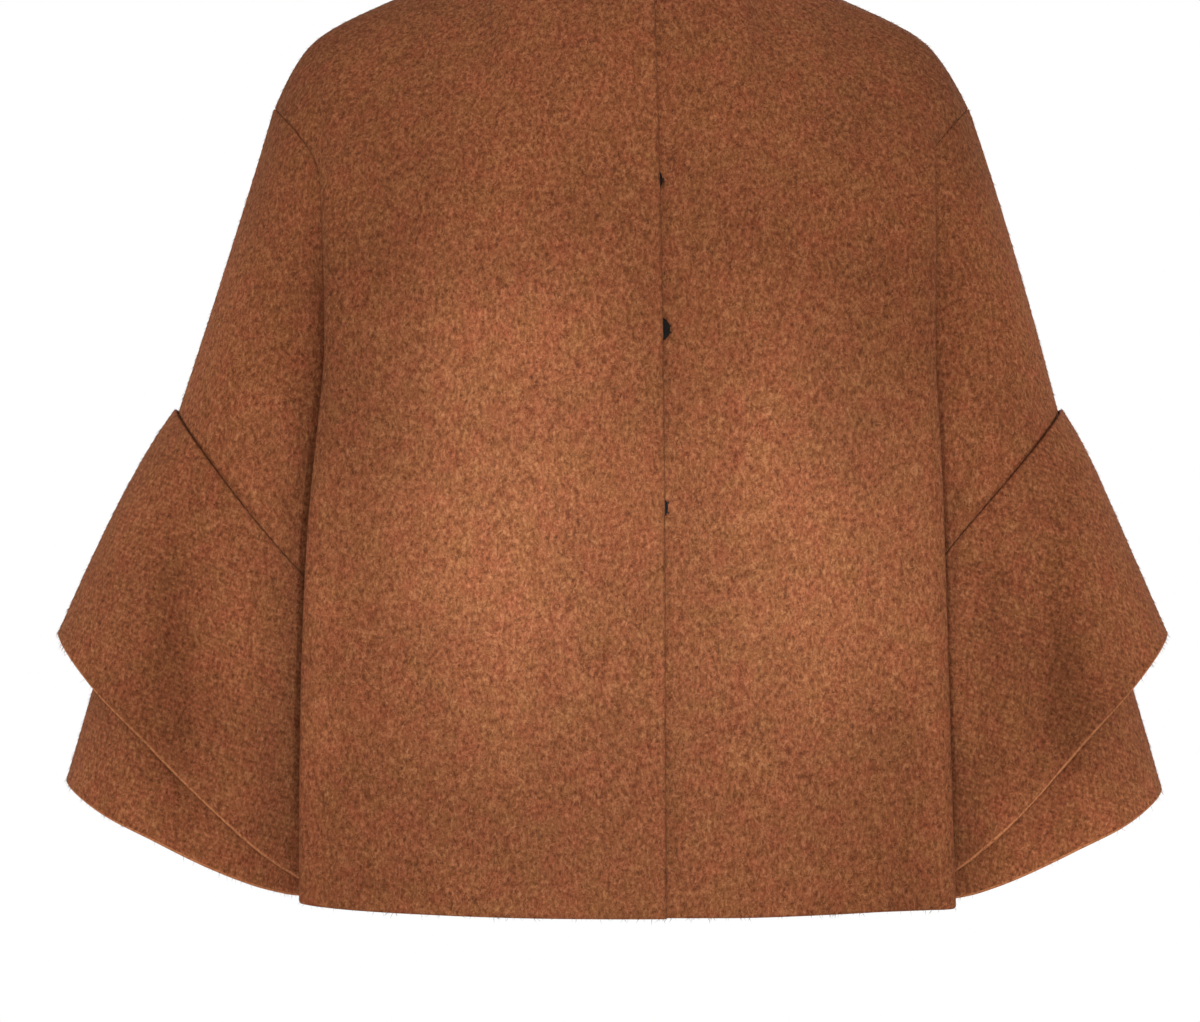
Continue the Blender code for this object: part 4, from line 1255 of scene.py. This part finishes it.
def finish_wool(tree, colours, twill):
    """Brushed wool: rust and ochre clouds, melange, dark specks and curled hairs, with a faint twill."""
    place = tree.place()
    streaky = tree.stretched(place, *STREAKS)
    grain = tree.noise(streaky, GRAIN)
    curls = tree.noise(streaky, CURLS)
    dark_curls = tree.noise(tree.stretched(place, *HAIR_STREAKS), DARK_CURLS)
    base = tree.ramp(grain, GRAIN_PLACES, (colours.dark, colours.body, colours.body_light, colours.light))
    base = tree.mix(1.0, base, hue_tint(tree, place, colours), "MULTIPLY")
    base = tree.mix(tree.line(curls, *LIGHT_HAIRS), base, colours.light)
    base = tree.mix(tree.line(dark_curls, *DARK_HAIRS), base, colours.dark)
    base = tree.mix(tree.step(tree.noise(streaky, DOTS), *DOT_STEP), base, colours.speck)
    raised = tree.math("MULTIPLY", tree.line(curls, *RAISED_HAIRS), HAIR_RELIEF)
    height = tree.math("ADD", tree.math("MULTIPLY", grain, GRAIN_RELIEF), raised)
    shade = tree.step(tree.noise(place, CLOUDS), *CLOUD_STEP)
    if twill > 0.0:
        inputs = {"Vector": tree.stretched(place, *TWILL_LINES), **TWILL_WAVE}
        wave = tree.add("TexWave", inputs, wave_type="BANDS", bands_direction="X")["Fac"]
        height = tree.math("ADD", height, tree.math("MULTIPLY", wave, TWILL_RELIEF * twill))
        lines = tree.step(wave, *TWILL_STEP, 1.0 - TWILL_DARK * twill, 1.0 + TWILL_LIGHT * twill)
        shade = tree.math("MULTIPLY", shade, lines)
    grey = tree.add("CombineColor", {"Red": shade, "Green": shade, "Blue": shade})[0]
    finish = {
        "Base Color": tree.mix(1.0, base, grey, "MULTIPLY"),
        "Normal": tree.relief(height, WOOL_RELIEF),
        "Roughness": 0.95,
        "Specular IOR Level": 0.15,
        "Sheen Weight": 0.06,
        "Sheen Roughness": 0.5,
        "Sheen Tint": (1.0, 0.62, 0.38),
    }
    tree.put(tree.shader, finish)


def finish_fibres(tree, colours):
    """The nap's fibres, each of its own tone from dark brown over rust to light orange."""
    tone = tree.add("Attribute", {}, attribute_name="tone")["Fac"]
    base = tree.ramp(tone, TONE_PLACES, (colours.speck, colours.dark, colours.body, colours.light))
    base = tree.mix(1.0, base, hue_tint(tree, tree.place(), colours), "MULTIPLY")
    tree.put(tree.shader, {"Base Color": base, "Roughness": 0.80, "Specular IOR Level": 0.15})


def finish_raw_edge(tree, colours):
    """The cut edge of the cuff layers, where the lighter inner fibres show."""
    fuzz = tree.noise(tree.stretched(tree.place(), *FUZZ_STREAKS), FUZZ)
    base = tree.ramp(fuzz, RAW_PLACES, (colours.body, colours.light, colours.raw_edge))
    finish = {"Base Color": base, "Normal": tree.relief(fuzz, RAW_RELIEF)}
    tree.put(tree.shader, {**finish, "Roughness": 0.95, "Specular IOR Level": 0.10})


def finish_lacquer(tree, colour):
    """Black lacquered metal with faint wear."""
    wear = tree.noise(tree.place(), WEAR)
    worn = [min(1.0, value * WORN_LIGHTER + WORN_LEAST) for value in colour]
    base = tree.mix(tree.step(wear, *WEAR_STEP), colour, worn)
    gloss = tree.step(wear, *GLOSS_STEP)
    tree.put(tree.shader, {"Base Color": base, "Roughness": gloss, "Specular IOR Level": 0.04})


def finish_thread(tree, colour):
    """Dark sewing thread with its twist."""
    twist = tree.noise(tree.stretched(tree.place(), *TWIST_STREAKS), TWIST)
    darker = [value * TWIST_DARKER for value in colour]
    base = tree.mix(tree.step(twist, *TWIST_STEP), darker, colour)
    tree.put(tree.shader, {"Base Color": base, "Roughness": 0.8})


def finish_floor(tree):
    """A pale matt floor with a trace of grain."""
    base = tree.ramp(tree.noise(tree.place(), FLOOR_GRAIN), FLOOR_PLACES, FLOOR_COLOURS)
    tree.put(tree.shader, {"Base Color": base, "Roughness": 0.7})


def shared_material(name, finish, *values):
    """A material by name, finished the first time it is asked for."""
    material = bpy.data.materials.get(name)
    if not material:
        material = bpy.data.materials.new(name)
        finish(Tree(material), *values)
    return material


def number_property(label, text, default, **settings):
    """A number that a user would change."""
    return bpy.props.FloatProperty(name=label, description=text, default=default, **settings)


def size_property(label, text, default):
    """A length that a user would change."""
    return number_property(label, text, default, min=0.0, unit="LENGTH", precision=4)


def colour_property(label, text, default):
    """A colour that a user would change."""
    return bpy.props.FloatVectorProperty(
        name=label, description=text, default=default, subtype="COLOR", size=3, min=0.0, max=2.0
    )


class JACKET_PG_cloth(bpy.types.PropertyGroup):
    """Colours of the cloth."""

    dark: colour_property("Dark", "Dark fibres of the melange", (0.125, 0.034, 0.013))
    body: colour_property("Body", "Main colour of the cloth", (0.235, 0.070, 0.026))
    body_light: colour_property("Body light", "Main colour where it catches light", (0.325, 0.106, 0.042))
    light: colour_property("Light", "Light orange fibres", (0.490, 0.190, 0.082))
    rust: colour_property("Rust tint", "Tint of the redder clouds", (1.04, 0.93, 1.00))
    ochre: colour_property("Ochre tint", "Tint of the yellower clouds", (0.98, 1.06, 0.98))
    speck: colour_property("Specks", "Dark brown specks", (0.080, 0.026, 0.012))
    raw_edge: colour_property("Raw edge", "Light fibres in the cuffs' cut edges", (0.560, 0.220, 0.085))
    stud: colour_property("Studs", "Lacquer of the press studs", (0.005, 0.003, 0.002))
    twill: number_property("Twill", "How plainly the twill shows on the cuffs", 0.8, min=0.0, max=2.0)


class JACKET_PG_nap(bpy.types.PropertyGroup):
    """The short fibres of the nap."""

    length: size_property("Length", "Mean length of a fibre", 0.0030)
    lift: number_property("Lift", "How far the fibres stand off the cloth", 0.22, subtype="ANGLE")
    density: number_property("Density", "Fibres for each square centimetre of cloth", 15.0, min=0.0)


class JACKET_PG_stage(bpy.types.PropertyGroup):
    """Camera, floor and light."""

    distance: size_property("Camera distance", "From the camera to the jacket's middle", 2.8)
    lens: number_property("Lens", "Focal length", 140.0, unit="CAMERA")
    floor: number_property("Floor height", "Height of the floor below the neck", -1.35, unit="LENGTH")
    light: number_property("Light", "Brightness of the lamps, beside their own power", 1.0, min=0.0)
    surround: number_property("Surround", "Brightness of the room beside its white far wall", 0.42, min=0.0)


def finish_piece(thing, materials, stands_for=()):
    """Links a piece, gives it its materials and lets it ride on the jacket's body."""
    bpy.context.scene.collection.objects.link(thing)
    for material in materials:
        thing.data.materials.append(material)
    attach(thing, BODY)
    if stands_for:
        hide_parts(*stands_for)
    return thing


def make_cloth(names, twill=0.0):
    """Makes cloth pieces with their nap, and hides the solid pieces that they replace."""
    colours = bpy.context.scene.jacket_cloth
    nap = bpy.context.scene.jacket_nap
    wool = shared_material("cuff_wool" if twill else "body_wool", finish_wool, colours, twill)
    fibres = shared_material("nap_fibres", finish_fibres, colours)
    edge = shared_material("raw_edge", finish_raw_edge, colours)
    for number, name in enumerate(names):
        piece = PIECES[name]
        cut = CUTS[piece.cut]
        materials = [wool, edge] if "raw" in piece.hems else [wool]
        thing = bpy.data.objects.new(name, shell_mesh(piece))
        finish_piece(thing, materials, [name])
        count = int(nap.density * cut.area * SQUARE_CENTIMETRES)
        fibre_mesh = nap_mesh(piece, count, nap.length, nap.lift, NAP_SEED + number)
        fur = bpy.data.objects.new("nap_" + name, fibre_mesh)
        finish_piece(fur, [fibres])


class JACKET_OT_fronts(bpy.types.Operator):
    """Make both fronts, the wearer's right one on top."""

    bl_idname = "jacket.fronts"
    bl_label = "Fronts"

    def execute(self, context):
        make_cloth(("front_right", "front_left"))
        return {"FINISHED"}


class JACKET_OT_back(bpy.types.Operator):
    """Make the back."""

    bl_idname = "jacket.back"
    bl_label = "Back"

    def execute(self, context):
        make_cloth(("back",))
        return {"FINISHED"}


class JACKET_OT_sleeves(bpy.types.Operator):
    """Make the two sleeves."""

    bl_idname = "jacket.sleeves"
    bl_label = "Sleeves"

    def execute(self, context):
        make_cloth(("sleeve_right", "sleeve_left"))
        return {"FINISHED"}


class JACKET_OT_flounces(bpy.types.Operator):
    """Make the upper layer of both bell cuffs."""

    bl_idname = "jacket.flounces"
    bl_label = "Upper cuff layers"

    def execute(self, context):
        make_cloth(("flounce_right", "flounce_left"), context.scene.jacket_cloth.twill)
        return {"FINISHED"}


class JACKET_OT_under_flounces(bpy.types.Operator):
    """Make the lower layer of both bell cuffs."""

    bl_idname = "jacket.under_flounces"
    bl_label = "Lower cuff layers"

    def execute(self, context):
        make_cloth(("under_flounce_right", "under_flounce_left"), context.scene.jacket_cloth.twill)
        return {"FINISHED"}


class JACKET_OT_studs(bpy.types.Operator):
    """Finish the press studs in the closing."""

    bl_idname = "jacket.studs"
    bl_label = "Press studs"

    def execute(self, context):
        colours = context.scene.jacket_cloth
        lacquer = shared_material("stud_lacquer", finish_lacquer, colours.stud)
        thread = shared_material("stud_thread", finish_thread, colours.speck)
        for name, mesh in stud_meshes():
            finish_piece(bpy.data.objects.new(name, mesh), [lacquer, thread], [name])
        return {"FINISHED"}


def white_room(surround):
    """A room whose far wall is lit white, and which is dimmer and warmer elsewhere."""
    world = bpy.data.worlds.new("white_room")
    tree = Tree(world)
    way = tree.add("SeparateXYZ", {"Vector": tree.place("Generated")})["Y"]
    colour = tree.mix(tree.step(way, *FAR_WALL_STEP), ROOM_TINT, WHITE)
    tree.put(tree.shader, {"Color": colour, "Strength": tree.step(way, *FAR_WALL_STEP, surround, 1.0)})
    return world


def soft_lamp(lamp, brightness):
    """A soft lamp that faces a point: a wide disc, or a spot where it has a cone."""
    light = bpy.data.lights.new(lamp.name, "SPOT" if lamp.cone else "AREA")
    light.energy = lamp.power * brightness
    light.color = [1.0 + part * lamp.cool for part in COOL]
    if lamp.cone:
        light.spot_size = radians(lamp.cone)
        light.spot_blend = SPOT_BLEND
        light.shadow_soft_size = lamp.size / 2
    else:
        light.shape = "DISK"
        light.size = lamp.size
    thing = bpy.data.objects.new(lamp.name, light)
    thing.location = (lamp.x, lamp.y, lamp.z)
    thing.scale = (1.0, lamp.tall, 1.0)
    way = np.array((lamp.to_x, 0.0, lamp.to_z)) - np.array(thing.location)
    thing.rotation_euler = (atan2(np.hypot(way[0], way[1]), -way[2]), 0.0, atan2(-way[0], way[1]))
    bpy.context.scene.collection.objects.link(thing)


class JACKET_OT_stage(bpy.types.Operator):
    """Make the camera, the pale floor and the soft light."""

    bl_idname = "jacket.stage"
    bl_label = "Stage"

    def execute(self, context):
        stage = context.scene.jacket_stage
        camera = bpy.data.cameras.new("camera")
        camera.sensor_width = SENSOR_WIDTH
        camera.sensor_fit = "HORIZONTAL"
        camera.lens = stage.lens
        viewer = bpy.data.objects.new("camera", camera)
        viewer.location = (CAMERA_OUT, -stage.distance, CAMERA_HEIGHT)
        viewer.rotation_euler = (radians(90.0), 0.0, 0.0)
        context.scene.collection.objects.link(viewer)
        context.scene.camera = viewer
        place = (0.0, 0.0, stage.floor)
        bpy.ops.mesh.primitive_circle_add(
            vertices=FLOOR_SIDES, radius=FLOOR_RADIUS, fill_type="NGON", location=place
        )
        floor = context.object
        floor.name = "floor"
        floor.data.materials.append(shared_material("pale_floor", finish_floor))
        context.scene.world = white_room(stage.surround)
        context.scene.view_settings.view_transform = "Standard"
        for lamp in LAMPS:
            soft_lamp(lamp, stage.light)
        return {"FINISHED"}


class JACKET_PT_panel(bpy.types.Panel):
    """The jacket's pieces and settings."""

    bl_idname = "JACKET_PT_panel"
    bl_label = "Spencer Jacket"
    bl_space_type = "VIEW_3D"
    bl_region_type = "UI"
    bl_category = "Jacket"

    def draw(self, context):
        layout = self.layout
        for group in (context.scene.jacket_cloth, context.scene.jacket_nap, context.scene.jacket_stage):
            box = layout.box()
            for name in type(group).__annotations__:
                box.prop(group, name)
        for operator in OPERATORS:
            layout.operator(operator.bl_idname)


OPERATORS = (
    JACKET_OT_fronts,
    JACKET_OT_back,
    JACKET_OT_sleeves,
    JACKET_OT_flounces,
    JACKET_OT_under_flounces,
    JACKET_OT_studs,
    JACKET_OT_stage,
)
GROUPS = {
    "jacket_cloth": JACKET_PG_cloth,
    "jacket_nap": JACKET_PG_nap,
    "jacket_stage": JACKET_PG_stage,
}


def register():
    """Registers the settings, the operators and the panel."""
    for name, group in GROUPS.items():
        bpy.utils.register_class(group)
        setattr(bpy.types.Scene, name, bpy.props.PointerProperty(type=group))
    for kind in (*OPERATORS, JACKET_PT_panel):
        bpy.utils.register_class(kind)


def unregister():
    """Takes everything out again."""
    for kind in (JACKET_PT_panel, *reversed(OPERATORS)):
        bpy.utils.unregister_class(kind)
    for name, group in reversed(GROUPS.items()):
        delattr(bpy.types.Scene, name)
        bpy.utils.unregister_class(group)


def main():
    """Registers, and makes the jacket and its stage."""
    register()
    bpy.ops.jacket.stage()
    bpy.ops.jacket.fronts()
    bpy.ops.jacket.back()
    bpy.ops.jacket.sleeves()
    bpy.ops.jacket.flounces()
    bpy.ops.jacket.under_flounces()
    bpy.ops.jacket.studs()


if __name__ == "__main__":
    main()
